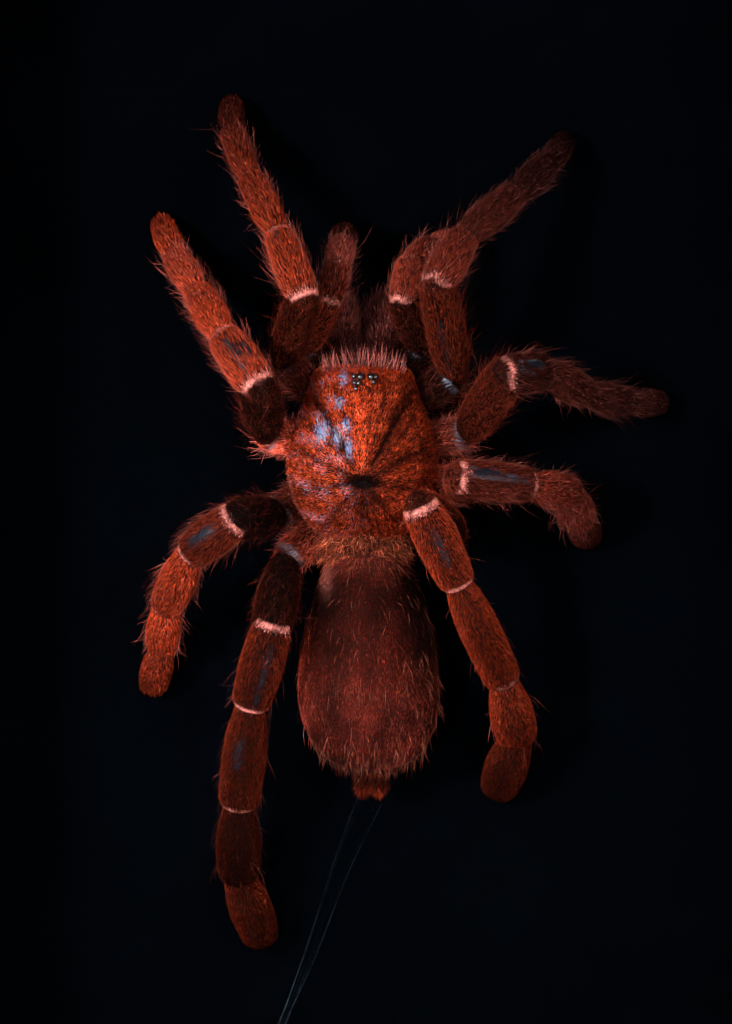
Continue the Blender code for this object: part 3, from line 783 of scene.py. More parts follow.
def limb_segment(limb, number):
    """The skin of one segment, on a grid of stations along and sides around.

    The middle line is the joint plus l along the segment, bowed up by 0.08 r sin(pi
    share). The radius goes in a straight line between the joints' radii, times
    1 + 0.13 sin(pi share), less a bell-shaped neck at the start. It is rounded over
    0.9 r at the start and 0.7 r at the end, or 0.45 r at a thigh's end. The knee has
    hardly any neck and reaches further back over the thigh, so its own start carries
    the broad cream ring of the knee and, behind that, the tone of the thigh. The
    other rings are arcs at a segment's far end, on the side that the next one turns
    away from. Every ring's middle moves along the limb by a few sines of the turn
    round it, and the coat beside a ring is shorter.
    """
    joints = LIMBS[limb]
    start, end = joints[number], joints[number + 1]
    way, side, over = segment_axes(start, end)
    length = math.dist(start[:3], end[:3])
    neck, before = (0.04, 0.85) if number == KNEE else (NECK, BEFORE)
    first, last = -before * start[3], length + PAST * end[3]
    line = first + (last - first) * (0.5 - 0.5 * np.cos(np.linspace(0, math.pi, STATIONS)))
    share = line / length
    radius = (start[3] + (end[3] - start[3]) * np.clip(share, 0, 1)) * SKIN_SHARE
    swell = np.sin(math.pi * np.clip(share, 0, 1))
    radius = radius * (1 + SWELL * swell - neck * spread(line, 1.1 * start[3]))
    radius = radius * rounded((line - first) / (0.9 * start[3]))
    radius = radius * rounded((last - line) / ((0.45 if number == 1 else ROUND_END) * end[3]))
    turn = 2 * math.pi * np.arange(SIDES) / SIDES
    around = np.cos(turn)[:, None] * side + np.sin(turn)[:, None] * over
    bow = (BOW * start[3] * swell)[:, None] * over
    middle = np.array(start[:3]) + line[:, None] * way + bow
    rings = middle[:, None, :] + radius[:, None, None] * around
    flat = np.ones((STATIONS, SIDES))
    lateral = flat * np.cos(turn)
    rim = RINGS[limb][number - 1] if KNEE <= number <= LAST_RINGED else 0.0
    onward = np.subtract(joints[min(number + 2, len(joints) - 1)][:2], end[:2])
    outer = around @ unit(np.array((*-unit(onward), 0.8)))
    past_ring = line[:, None] - length - 0.08 * end[3] - 0.08 * np.sin(7 * turn + number)
    pale = rim * spread(past_ring, RING_WIDE) * smooth(-0.2, 0.4, outer)
    trim = 1 - 0.7 * rim * spread(past_ring + 0.5, 0.6)
    shade, cool = TONES[limb][number]
    if number == KNEE:
        waves = 0.12 * np.sin(5 * turn + number) + 0.08 * np.sin(11 * turn + 1)
        past_ring = line[:, None] - KNEE_RING * start[3] - waves
        broad = RINGS[limb][0] * spread(past_ring, KNEE_WIDE)
        pale = np.maximum(pale, broad * smooth(-0.5, 0.1, np.sin(turn)))
        trim = np.minimum(trim, 1 - 0.75 * spread(past_ring + 0.6, 0.6))
        thigh = TONES[limb][1][0]
        shade = thigh + (shade - thigh) * smooth(-0.25, 0.15, past_ring)
    bare = np.zeros_like(flat)
    for name, segment, centre, half, aside, wide in STRIPES:
        if name == limb and segment == number:
            far = ((share[:, None] - centre) / half) ** 2 + ((lateral - aside) / wide) ** 2
            bare = np.maximum(bare, smooth(1.25, 0.6, far) * (np.sin(turn) > -0.2))
    cool = cool * flat * (bare < 0.05)
    # The collar is the bare membrane of the hip joint, coloured in the pale blue-grey painted
    # glint.
    if number == 0:
        collar = COLLARS.get(limb, 0.3) * spread(line - length + 0.3 * end[3], 0.45)[:, None] * flat
        bare = np.maximum(bare, collar)
        cool = np.maximum(cool, smooth(0.1, 0.3, collar))
    lines = 0.3 * (spread(np.abs(lateral) - 0.34, 0.09) if 1 <= number <= 3 else 0.0)
    # Painted rim light: a segment's sides are painted brighter, most on the hind legs.
    shade = shade * (0.8 + RIM_LIGHT.get(limb[:5], 0.5) * np.abs(lateral)**3 - lines)
    return closed_rings(rings, share=share[:, None] * flat, lateral=lateral, pale=pale, bare=bare,
                        shade=shade * flat, cool=cool, trim=trim, number=number * flat,
                        flow=np.broadcast_to(way, rings.shape))


def limb_skin(limb):
    """All the segments of one limb."""
    return with_normals(joined([limb_segment(limb, n) for n in range(len(LIMBS[limb]) - 1)]))


print("one thigh has", len(limb_segment("leg_1_left", 1)["points"]), "points")

# %% [markdown]
# Fur of a limb
#
# Real fur grows in lots: a close short coat that lies towards the foot, long
# thin bristles that stand off and bend, cream hair on the joint rings and tufts on
# the hip. Each lot is scattered over the skin by its own density. Roots that fall
# inside a neighbouring segment are dropped, or tufts would push through.


# %% Coats
VIEWER = np.array((0.0, 0.0, 1.0))
SUNK = 0.05
SWIRL, SWIRL_SIZE = 0.10, 2.2
HAIRS = {
    # length, width and lift, each as middle and spread, then stray, curl, steps and dark
    "bristles": ((2.0, 0.6), (0.027, 0.005), (0.95, 0.30), 0.22, 0.9, 2, 0.4),
    "rings": ((0.32, 0.10), (0.11, 0.02), (0.30, 0.20), 0.20, 0.0, 1, 0.2),
    "hip_tufts": ((1.6, 0.5), (0.060, 0.01), (0.55, 0.30), 0.45, 0.0, 1, 0.8),
    "velvet": ((0.60, 0.12), (0.086, 0.012), (0.30, 0.12), 0.14, 0.0, 1, 0.5),
    "fringe": ((2.2, 0.6), (0.046, 0.010), (0.42, 0.20), 0.09, 0.35, 3, 0.6),
    "waist": ((1.8, 0.6), (0.064, 0.015), (0.45, 0.35), 0.5, 0.0, 1, 0.9),
    "abdomen_short": ((0.70, 0.12), (0.078, 0.012), (0.28, 0.12), 0.08, 0.0, 1, 0.48),
    "abdomen_long": ((1.6, 0.5), (0.038, 0.006), (0.50, 0.22), 0.16, 0.50, 2, 0.45),
    "jaw_short": ((1.4, 0.3), (0.12, 0.02), (0.35, 0.15), 0.16, 0.05, 1, 0.6),
    "jaw_long": ((2.4, 0.6), (0.075, 0.01), (0.6, 0.2), 0.2, 0.3, 3, 0.5),
    "spinneret": ((1.2, 0.25), (0.07, 0.02), (0.75, 0.2), 0.20, 0.0, 1, 0.35),
}


def inside_neighbour(limb, places):
    """True where a root lies inside another segment of its limb, as a tapered rod."""
    joints = LIMBS[limb]
    hidden = np.zeros(len(places["points"]), bool)
    for number in range(len(joints) - 1):
        start, end = np.array(joints[number]), np.array(joints[number + 1])
        axis = end[:3] - start[:3]
        share = (places["points"] - start[:3]) @ axis / (axis @ axis)
        away = np.linalg.norm(places["points"] - start[:3] - share[:, None] * axis, axis=1)
        radius = (start[3] + (end[3] - start[3]) * share) * SKIN_SHARE
        within = (share > 0.0) & (share < 1.0) & (away < 0.95 * radius)
        hidden |= within & (np.round(places["number"]) != number)
    return hidden


def laid(places, lift, stray, rng):
    """Directions of hairs: the flow along the skin, raised by lift radians and jittered.

    The flow is bent a little by clouds, so that neighbours lie in locks. It loses
    its part along the normal, is made one long, and is mixed with the normal as
    cos(lift) flow + sin(lift) normal + stray times a random step.
    """
    normal = unit(places["normal"])
    swirl = np.stack([clouds(places["points"], SWIRL_SIZE, rng) for axis in range(3)], -1)
    flow = places["flow"] + SWIRL * swirl
    flow = unit(flow - (flow * normal).sum(axis=1, keepdims=True) * normal)
    lift = lift[:, None]
    ways = np.cos(lift) * flow + np.sin(lift) * normal + stray * rng.normal(size=flow.shape)
    return unit(ways), normal


def coat(places, style, rng, pale=None, stand=None):
    """Hairs of one style on scattered places.

    With one step they are straight blades, with more they are bent spindles. Where
    the places have a trim value, it shortens them. Dark is how much their
    brightness differs, and stand is the middle of their lift, for each of them.
    """
    length, width, lift, stray, curl, steps, dark = style
    count = len(places["points"])
    middle = lift[0] if stand is None else stand
    lifts = np.clip(rng.normal(middle, lift[1], count), 0.03, 1.5)
    ways, normal = laid(places, lifts, stray, rng)
    lengths = np.clip(rng.normal(*length, count), 0.35 * length[0], 2.0 * length[0])
    lengths = lengths * places.get("trim", 1.0)
    widths = np.clip(rng.normal(*width, count), 0.6 * width[0], 1.6 * width[0])
    roots = places["points"] - SUNK * normal
    looks = {"shade": places["shade"] * np.exp(dark * rng.normal(size=count)),
             "pale": places["pale"] if pale is None else pale * np.ones(count),
             "cool": np.clip(places["cool"] + 0.15 * rng.normal(size=count), 0, 1)}
    if steps == 1:
        return blades(roots, ways, normal, lengths, widths, **looks)
    bend = curl * (places["flow"] - 0.6 * normal + 0.5 * rng.normal(size=(count, 3)))
    return spikes(roots, ways, lengths, widths, bend, steps, rng, **looks)


HIDDEN_HAIRS, RING_HAIRS, TUFT_HAIRS = 0.05, 50, 9
STYLES = {"leg_1": (1.38, 0.098, 0.16, 18.5, 2.0), "leg_2": (1.32, 0.098, 0.17, 18.5, 2.2),
          "leg_3": (1.05, 0.097, 0.20, 21, 1.6), "leg_4": (0.86, 0.085, 0.32, 26.5, 0.3),
          "palp_": (1.15, 0.097, 0.18, 19.5, 2.2)}
print("a style is coat length, width and lift, hairs and bristles per square millimetre")


def on_thigh(places):
    """True where the segment is the thigh."""
    return np.abs(places["number"] - 1) < 0.5


def limb_coats(limb, skin, rng):
    """The short coat, the bristles, the ring fringes and the hip tufts of one limb."""
    length, width, lift, hairs, bristles = STYLES[limb[:5]]
    to_eye = skin["normal"] @ VIEWER
    facing = smooth(-0.5, 0.1, to_eye)
    open_skin = (1 - 0.97 * skin["bare"]) * (1 - 0.8 * skin["pale"])
    short = scattered(skin, hairs * (HIDDEN_HAIRS + (1 - HIDDEN_HAIRS) * facing) * open_skin, rng)
    bristly = bristles * (0.3 + 1.1 * smooth(0.85, 0.15, to_eye)) * smooth(-0.6, -0.1, to_eye)
    bristly = np.maximum(bristly, 1.2 * on_thigh(skin) * facing) * open_skin
    bristly = bristly * (skin["number"] < len(LIMBS[limb]) - 2.5)
    long = scattered(skin, bristly, rng)
    long["shade"] = 0.5 + 0.45 * long["shade"]
    # The bristles are paler, partly by their own pale tips and partly as painted rim light.
    long["pale"] = 0.32 - 0.24 * on_thigh(long)
    ringed = scattered(skin, RING_HAIRS * skin["pale"] * (0.15 + 0.85 * facing), rng)
    ringed["shade"] = 1.35 + 0.1 * ringed["shade"] + 0.6 * (ringed["share"] > 0.5)
    on_hip = skin["number"] < 0.5
    hip = scattered(skin, TUFT_HAIRS * facing * on_hip * (1 - 0.8 * skin["bare"]), rng)
    hip["shade"] = 0.1 + 0.9 * hip["shade"]
    short, long, ringed, hip = [chosen(places, ~inside_neighbour(limb, places))
                                for places in (short, long, ringed, hip)]
    short_style = ((length, 0.2 * length), (width, 0.02), (lift, 0.07), 0.06, 0.0, 1, 0.42)
    return joined([coat(short, short_style, rng), coat(long, HAIRS["bristles"], rng),
                   coat(ringed, HAIRS["rings"], rng, pale=1.0),
                   coat(hip, HAIRS["hip_tufts"], rng, pale=0.18)])


# %% Dress every limb
hair_triangles = 0
for order, limb in enumerate(LIMBS):
    skin = limb_skin(limb)
    coats = limb_coats(limb, skin, seeded("limb_hairs", order))
    hair_triangles += len(coats["tris"])
    new_piece(f"{limb}_skin", skin, limb_hide, "limb", limb)
    new_piece(f"{limb}_fur", coats, limb_fur, "limb", limb)
print("limb hairs", hair_triangles, "triangles")

# %% [markdown]
# The carapace
#
# The carapace is one shield with a pit in its middle, the fovea. Grooves run out
# from it between the places where the legs attach, and the part in front of it,
# which carries the eyes, stands a little prouder. So its skin is a grid of angles
# and of shares of the way from the fovea to the rim. The height is the dome of the
# construction model, with the grooves, the pit and the eye tubercle added as
# smooth bumps.

# %% Outline and dome
CARAPACE_MIDDLE = np.array((-0.5, 9.0))
FOVEA = np.array((-0.6, 4.7))
HALF_OUTLINE = ((0, 23.1), (4.4, 23.1), (7.5, 22.2), (8.7, 19.2), (10.6, 14.2), (12.0, 8.6),
                (11.7, 4.0), (10.0, -0.4), (7.0, -3.6), (3.4, -4.4), (0, -4.2))
DOME_SHARES = (0.0, 0.25, 0.50, 0.72, 0.88, 0.97, 1.0)
DOME_HEIGHTS = (20.3, 19.9, 19.0, 17.5, 15.4, 13.4, 12.2)
HAIR_ROOM = 0.35


def closed_curve(corners, between):
    """A Catmull-Rom curve through corners: on each side, half of
    2 b + (c - a) t + (2 a - 5 b + 4 c - d) t^2 + (3 b - a - 3 c + d) t^3."""
    a, b, c, d = (np.roll(corners, shift, axis=0)[:, None, :] for shift in (1, 0, -1, -2))
    t = (np.arange(between) / between)[None, :, None]
    curve = (2 * b + (c - a) * t + (2 * a - 5 * b + 4 * c - d) * t**2
             + (3 * b - a - 3 * c + d) * t**3)
    return curve.reshape(-1, corners.shape[1]) / 2


def carapace_outline():
    """The right half of the outline and its mirror image, as one closed curve."""
    right = np.array(HALF_OUTLINE)
    left = right[-2:0:-1] * (-1, 1)
    return closed_curve(np.concatenate([right, left]), 12) + (CARAPACE_MIDDLE[0], 0)


def reach(centre, angles):
    """How far the outline is from centre by direction; 0 is up and angles grow to the right."""
    spokes = carapace_outline() - centre
    turn = np.arctan2(spokes[:, 0], spokes[:, 1])
    order = np.argsort(turn)
    return np.interp(angles, turn[order], np.hypot(*spokes.T)[order], period=2 * math.pi)


def dome_height(x, up):
    """Height of the construction model's dome over a point."""
    angles = np.arctan2(x - CARAPACE_MIDDLE[0], up - CARAPACE_MIDDLE[1])
    away = np.hypot(x - CARAPACE_MIDDLE[0], up - CARAPACE_MIDDLE[1])
    return np.interp(away / reach(CARAPACE_MIDDLE, angles), DOME_SHARES, DOME_HEIGHTS)


print("carapace is", np.round(np.ptp(carapace_outline(), axis=0), 1), "mm")

# %% Grooves, pit and tubercle
GROOVES = ((-30, 0.55, 0.5), (30, 0.55, 0.5), (-64, 0.40, 0.45), (62, 0.40, 0.45),
           (-100, 0.35, 0.45), (100, 0.35, 0.45), (-140, 0.35, 0.6), (140, 0.35, 0.6),
           (180, 0.2, 0.5))
TUBERCLE = (-0.2, 20.7)
GROOVE_DEEP, FOVEA_DEEP, TUBERCLE_TALL = 0.8, 0.9, 1.7
HEAD_TALL, RIB_TALL = 0.5, 0.05


def groove_mask(share, angle, away):
    """How deep in a groove a point is: the bells of its sideways distance from each groove."""
    along = smooth(0.06, 0.2, share) * smooth(1.0, 0.72, share)
    total = np.zeros_like(share)
    for degrees, deep, wide in GROOVES:
        off = (np.degrees(angle) - degrees + 180) % 360 - 180
        total += deep * spread(np.radians(off) * away, wide) * along * (np.abs(off) < 60)
    return total


def carapace_relief(share, angle, x, up):
    """Height added to the dome, and the groove and fovea masks for the colours."""
    away = np.hypot(x - FOVEA[0], up - FOVEA[1])
    grooves = groove_mask(share, angle, away)
    fovea = bell(x, up, FOVEA, 3.1, 1.1)
    tubercle = spread(np.hypot((x - TUBERCLE[0]) / 2.0, (up - TUBERCLE[1]) / 1.4) ** 2, 1.0)
    head = HEAD_TALL * smooth(34, 24, np.abs(np.degrees(angle)))
    head = head * smooth(0.15, 0.5, share) * smooth(1.0, 0.9, share)
    ribs = RIB_TALL * np.sin(46 * angle + 3 * np.sin(5 * angle))
    ribs = ribs * smooth(0.2, 0.5, share) * smooth(1.0, 0.85, share)
    relief = head + ribs - GROOVE_DEEP * grooves - FOVEA_DEEP * fovea + TUBERCLE_TALL * tubercle
    return relief, grooves, fovea


# %% Tones of the carapace
SHEENS = ((-3.5, 20.6, 0.8, 1.6), (-4.0, 16.6, 0.7, 1.1), (-6.7, 12.2, 1.3, 2.0),
          (-3.0, 13.2, 0.8, 1.2), (-4.4, 11.2, 0.7, 1.5), (-2.6, 9.8, 0.7, 1.8))
RAYS = ((47, 9), (82, 9), (120, 11))


def carapace_tones(share, angle, x, up, grooves, fovea):
    """Brightness, mauve, bare skin with painted sheen, and cream over the shield.

    Bright rays lie between the grooves and fine dark lines run along them. The
    left side is painted brighter and more mauve, as painted light from the lamp at
    the left, the rear is lighter at the right and dimmer at the left, and clouds
    mottle all of it. The grooves are painted darker and the fovea black with a
    ragged edge, as painted shade in these hollows, a dim blotch lies behind the
    fovea, and it is darker round the eyes. Bare patches and fine flecks at the left
    take a pale blue-grey painted sheen, and a thin cream line runs along the left rim.
    """
    rng = seeded("carapace_tones")
    spots = np.stack([x, up], -1)
    mottle = clouds(spots, 3.2, rng)
    fine = clouds(spots, 1.1, rng)
    flecks = clouds(spots, 0.45, rng)
    turned = np.degrees(angle)
    left = smooth(3.0, -5.0, x)
    ahead = spread(turned, 17) * smooth(0.04, 0.2, share) * smooth(1.05, 0.8, share)
    between = sum(spread(np.abs(turned) - off, wide) for off, wide in RAYS)
    lines = smooth(0.1, 0.9, np.sin(38 * angle + 2.5 * np.sin(6 * angle) + 3 * share))
    lines = lines * smooth(0.12, 0.3, share)
    lines = lines * smooth(60, 35, np.abs(turned)) * smooth(0.95, 0.7, share)
    behind = spread(np.abs(turned) - 180, 32) * smooth(0.9, 0.4, share)
    front = 0.35 * smooth(18.5, 21.5, up)
    # Painted light: the left term makes the left side brighter, standing in for the lamp at the
    # left.
    shade = 0.40 + 0.55 * left + 1.25 * ahead + (0.30 + 0.2 * left) * between + front - 0.2 * behind
    shade = shade + 0.55 * smooth(7.0, 1.0, up) * smooth(-1.0, 4.0, x)
    shade = shade * (1 - 0.36 * smooth(9.0, 2.0, up) * left)
    # A dim dark blotch lies behind the fovea.
    blotch_behind_pit = bell(x, up, (0.9, 3.0), 3.2, 1.6)
    # Painted shade: the grooves are painted darker.
    shade = shade * (1 - 0.9 * np.clip(1.6 * grooves, 0, 1)) * (1 - 0.6 * lines) * (1 - 0.5 * blotch_behind_pit)
    shade = np.clip(shade, 0.06, None) * np.exp(0.22 * mottle + 0.22 * fine)
    # Painted shade: the pit of the fovea is painted near black.
    shade = shade * (1 - 0.95 * smooth(0.12, 0.75, fovea + 0.07 * (flecks + fine)))
    shade = shade * (1 - 0.55 * bell(x, up, (-0.2, 20.2), 2.2, 1.5))
    patch = np.max([smooth(1.5, 0.15, np.hypot((x - sx) / wide, (up - sup) / tall))
                    for sx, sup, wide, tall in SHEENS], axis=0)
    sheen = smooth(0.25, 0.8, patch + 0.36 * flecks) * (patch > 0.02)
    # Painted sheen: fine flecks on the left take the bare skin's pale blue-grey sheen colour.
    patchy_cream_and_sheen = smooth(1.2, 1.9, flecks + 0.5 * mottle) * left * smooth(0.1, 0.3, share) * (1 - ahead)
    sheen = np.maximum(sheen, 0.8 * patchy_cream_and_sheen)
    cool = np.clip((0.12 + 0.2 * mottle) * left * (1 - ahead) + 0.4 * patch, 0, 1)
    pale = 0.3 * spread(share - 0.985, 0.015) * smooth(75, 100, np.abs(turned)) * left
    return shade, cool, sheen, pale


# %% Skin of the carapace
SPOKES, HOOPS = 280, 72
UNDER_SHARES, UNDER_HEIGHTS = (0.97, 0.85, 0.5, 0.0), (11.3, 10.9, 10.6, 10.5)
UNDER_SHADE = 0.4


def carapace_skin():
    """The shield from the fovea out to the rim, round it and back under to the middle."""
    angles = 2 * math.pi * np.arange(SPOKES) / SPOKES - math.pi
    top = np.linspace(0, 1, HOOPS) ** 0.9
    share = top[:, None] * np.ones(SPOKES)
    angle = np.ones((HOOPS, 1)) * angles
    rim = reach(FOVEA, angles) - HAIR_ROOM
    x = FOVEA[0] + share * rim * np.sin(angles)
    up = FOVEA[1] + share * rim * np.cos(angles)
    relief, grooves, fovea = carapace_relief(share, angle, x, up)
    height = dome_height(x, up) - HAIR_ROOM + relief * smooth(1.0, 0.9, share)
    shape = np.stack([x, up, height], -1)
    under = np.array(UNDER_SHARES)[:, None]
    low = np.stack([FOVEA[0] + under * rim * np.sin(angles),
                    FOVEA[1] + under * rim * np.cos(angles),
                    np.ones_like(rim) * np.array(UNDER_HEIGHTS)[:, None]], -1)
    rings = np.concatenate([shape, low])
    shade, cool, sheen, pale = carapace_tones(share, angle, x, up, grooves, fovea)
    plain = np.zeros_like(low[..., 0])
    looks = {"shade": (shade, plain + UNDER_SHADE), "bare": (sheen, plain),
             "cool": (cool, plain), "pale": (pale, plain)}
    fields = {name: np.concatenate(parts) for name, parts in looks.items()}
    outward = np.stack([np.sin(angles), np.cos(angles), np.zeros(SPOKES)], -1)
    fields["flow"] = np.broadcast_to(outward, rings.shape)
    return with_normals(closed_rings(rings, **fields))


back = carapace_skin()
new_piece("carapace_skin", back, back_hide, "carapace", "cephalothorax")


# %% Sternum
STERNUM_WIDE, STERNUM_LONG = 3.9, 10.5
STERNUM_LEVELS = ((0.0, 3.2), (0.3, 3.3), (0.6, 3.6), (0.85, 4.1), (0.95, 4.6), (1.0, 5.6),
                  (1.0, 9.0), (0.9, 11.0), (0.0, 11.0))
STERNUM_SIDES = 48


def sternum_skin():
    """The breastplate under the carapace: ellipses stacked by share of their width."""
    turn = 2 * math.pi * np.arange(STERNUM_SIDES) / STERNUM_SIDES
    share, height = np.hsplit(np.array(STERNUM_LEVELS), 2)
    rings = np.stack([CARAPACE_MIDDLE[0] + STERNUM_WIDE * share * np.cos(turn),
                      CARAPACE_MIDDLE[1] + STERNUM_LONG * share * np.sin(turn),
                      height * np.ones_like(turn)], -1)
    flat = np.ones(rings.shape[:2])
    return with_normals(closed_rings(rings, shade=0.7 * flat, bare=0.0 * flat))


new_piece("sternum", sternum_skin(), back_hide, "carapace", "cephalothorax")

# %% [markdown]
# Velvet of the carapace
#
# The shield has a very short, dense velvet that lies outwards from the fovea, thin
# over the bare patches at the left, whose glossy skin is painted a pale blue-grey
# sheen. Upright hairs fringe its front edge, and a fur of blond hairs hides the
# waist behind it.


# %% Velvet and fringes
EYES = ((-0.90, 20.8, 0.56), (0.75, 20.8, 0.56), (-1.85, 20.9, 0.42), (1.45, 20.8, 0.42),
        (-1.75, 19.9, 0.40), (1.15, 20.0, 0.36), (-1.15, 19.85, 0.36), (-1.55, 19.0, 0.40))


def edge_places(count, spot, rng, **values):
    """Roots spread by spot, a function of random shares, with the values a coat needs."""
    points, normal, flow = spot(rng.random(count), rng.random(count))
    places = {"points": points, "normal": unit(normal), "flow": unit(flow)}
    for name in ("shade", "pale", "cool"):
        places[name] = np.full(count, values.get(name, 0.0))
    return places


def front_edge(a, b):
    """Along the front rim: x over 13 mm, up on the rim's arch, leaning forwards and up."""
    x = -0.4 + 6.4 * np.sin(math.pi * (a - 0.5)) * (0.7 + 0.3 * b)
    up = 22.9 - 0.018 * (x + 0.5) ** 2 - 0.9 * b
    points = np.stack([x, up, dome_height(x, up) - HAIR_ROOM], -1)
    normal = np.broadcast_to((0.0, 0.35, 0.94), points.shape)
    return points, normal, np.stack([0.05 * x, 1 + 0 * x, 0 * x], -1)


def waist(a, b):
    """Over the narrow waist behind the carapace, leaning back onto the abdomen."""
    x = -6.8 + 13.6 * a
    up = -3.0 - 5.0 * b + 0.02 * x**2
    points = np.stack([x, up, 13.2 - 0.05 * x**2 + 1.6 * b], -1)
    normal = np.stack([0.06 * x, -0.5 + 0 * x, 0.9 + 0 * x], -1)
    return points, normal, np.stack([0.1 * x, -1 + 0 * x, 0 * x], -1)


VELVET_HAIRS, FRINGE_COUNT, WAIST_COUNT = 42, 260, 3400
EYE_ROOM = 0.15

rng = seeded("carapace_hairs")
facing = smooth(0.0, 0.35, back["normal"] @ VIEWER)
velvet = scattered(back, VELVET_HAIRS * facing * (1 - 0.92 * back["bare"]), rng)
velvet_x, velvet_up = velvet["points"][:, 0], velvet["points"][:, 1]
open_eyes = [np.hypot(velvet_x - x, velvet_up - up) > r + EYE_ROOM for x, up, r in EYES]
velvet = chosen(velvet, np.all(open_eyes, axis=0))
tufts = edge_places(WAIST_COUNT, waist, rng, shade=0.42, pale=0.22)
tufts["shade"] = tufts["shade"] * np.exp(0.6 * clouds(tufts["points"], 1.5, rng))
velvet_coat = coat(velvet, HAIRS["velvet"], rng)
fringe = edge_places(FRINGE_COUNT, front_edge, rng, shade=1.3, pale=0.1, cool=0.8)
back_coats = joined([velvet_coat, coat(fringe, HAIRS["fringe"], rng),
                     coat(tufts, HAIRS["waist"], rng)])
new_piece("carapace_velvet", back_coats, back_fur, "carapace", "cephalothorax")

# %% [markdown]
# The eyes
#
# Eight small eyes sit close together on the tubercle: two round ones in front and
# three oval ones on each side. They are glossy black beads, half sunk.


# %% Eight beads
BEAD_RINGS, BEAD_SIDES = 13, 16
EYE_SHARE, EYE_ANGLE = 0.8, 0.05
EYE_LIFT, EYE_PROUD = 0.25, 0.55


def bead(x, up, radius):
    """A sphere: rings by the angle from its top, at the height of the tubercle there."""
    x_there, up_there = np.array([x]), np.array([up])
    ground = carapace_relief(np.array([EYE_SHARE]), np.array([EYE_ANGLE]), x_there, up_there)[0]
    height = dome_height(x_there, up_there) - HAIR_ROOM + ground + EYE_LIFT + EYE_PROUD * radius
    down = np.linspace(0, math.pi, BEAD_RINGS)[:, None]
    turn = 2 * math.pi * np.arange(BEAD_SIDES) / BEAD_SIDES
    ball = np.stack([np.sin(down) * np.cos(turn), np.sin(down) * np.sin(turn),
                     np.cos(down) + 0 * turn], -1)
    return closed_rings(np.array((x, up, height[0])) + radius * ball)


EYE_FINISH = {"Coat Weight": 1.0, "Coat IOR": 2.4, "Coat Roughness": 0.20,
              "Specular IOR Level": 0.5}
eye_black, tree, shader = finish_material("eye_black", EYE_FINISH)
gleam = blotches(tree, (2500, 2500, 2500), 3.0, (0.002, 0.0015, 0.001), (0.006, 0.004, 0.003))
fill(tree, shader, {"Base Color": gleam["Color"],
                    "Roughness": ranged(tree, gleam["Mask"], 0, 1, 0.06, 0.16)})
new_piece("eyes", joined([bead(*eye) for eye in EYES]), eye_black, "carapace", "cephalothorax")

# %% [markdown]
# Abdomen, jaws and spinnerets
#
# These are all bodies on a middle line: ellipses whose centre, half width and
# half height are given at a few places along the body and run smoothly between
# them. A smooth line through the given values is a cubic whose slope at each one
# is the slope between its neighbours.

# %% Bodies on a middle line
ABDOMEN = ((0, -4.8, 9.6, 1.4, 1.4), (0, -5.9, 9.8, 1.6, 1.6), (0.1, -6.6, 10.4, 4.7, 4.6),
           (0.2, -8.6, 11.0, 6.7, 7.0), (0.4, -12.6, 11.6, 8.5, 8.7), (0.4, -18.6, 12.0, 10.2, 9.9),
           (0.4, -25.5, 12.2, 11.1, 10.4), (0.5, -31.5, 12.0, 10.8, 10.0),
           (0.7, -36.0, 11.6, 8.9, 8.0), (0.8, -38.6, 11.2, 6.4, 5.6), (0.9, -39.7, 11.0, 3.4, 3.0))
JAW = ((2.8, 24.0, 8.8, 2.0, 3.2), (2.9, 25.2, 8.4, 2.4, 4.0), (3.0, 28.0, 8.0, 2.6, 4.3),
       (3.0, 30.6, 7.4, 2.5, 4.0), (2.9, 32.4, 6.6, 2.0, 3.0), (2.8, 33.3, 5.8, 1.0, 1.6))
SPINNERET = ((0, -39.9, 9.8, 1.0, 1.1), (0, -40.9, 9.6, 1.1, 1.4), (0, -42.4, 9.2, 1.1, 1.4),
             (0, -43.5, 8.9, 0.8, 1.0), (0, -43.9, 8.8, 0.3, 0.4))


def smooth_rows(rows, count):
    """Rows of numbers run through smoothly: h00 a + h10 m + h01 b + h11 n, the Hermite cubic."""
    rows = np.array(rows, float)
    gaps = np.linalg.norm(np.diff(rows, axis=0), axis=1)
    knots = np.concatenate([[0], np.cumsum(gaps)])
    slope = np.gradient(rows, knots, axis=0)
    at = np.linspace(0, knots[-1], count)
    k = np.clip(np.searchsorted(knots, at, side="right") - 1, 0, len(gaps) - 1)
    t = ((at - knots[k]) / gaps[k])[:, None]
    gap = gaps[k][:, None]
    return ((2 * t**3 - 3 * t**2 + 1) * rows[k] + (t**3 - 2 * t**2 + t) * gap * slope[k]
            + (3 * t**2 - 2 * t**3) * rows[k + 1] + (t**3 - t**2) * gap * slope[k + 1])


def body_skin(rows, stations, sides, room, blunt, **looks):
    """Ellipses across the up direction, narrower by room, with a pole at each end."""
    line = smooth_rows(rows, stations)
    turn = 2 * math.pi * np.arange(sides) / sides
    half = np.maximum(line[:, 3:] - room, 0.3 * line[:, 3:])
    x = line[:, :1] + half[:, :1] * np.cos(turn)
    height = line[:, 2:3] + half[:, 1:] * np.sin(turn)
    rings = np.stack([x, line[:, 1:2] * np.ones(sides), height], -1)
    before, after = rings[:1].copy(), rings[-1:].copy()
    before[...] = rings[0].mean(axis=0)
    after[...] = rings[-1].mean(axis=0) + (0, blunt, 0)
    rings = np.concatenate([before, rings, after])
    flat = np.ones(rings.shape[:2])
    fields = {name: looks.get(name, 0.0) * flat for name in ("shade", "pale", "cool", "bare")}
    onward = math.copysign(1, rows[-1][1] - rows[0][1])
    fields["flow"] = np.broadcast_to((0.0, onward, 0.0), rings.shape)
    return with_normals(closed_rings(rings, **fields))


def shifted(rows, side, centre):
    """The rows with their x mirrored to one side and moved to a centre."""
    return [(centre + side * row[0], *row[1:]) for row in rows]


belly = body_skin(ABDOMEN, 90, 96, 0.30, -0.3, shade=1.0)
print("abdomen", len(belly["points"]), "points")

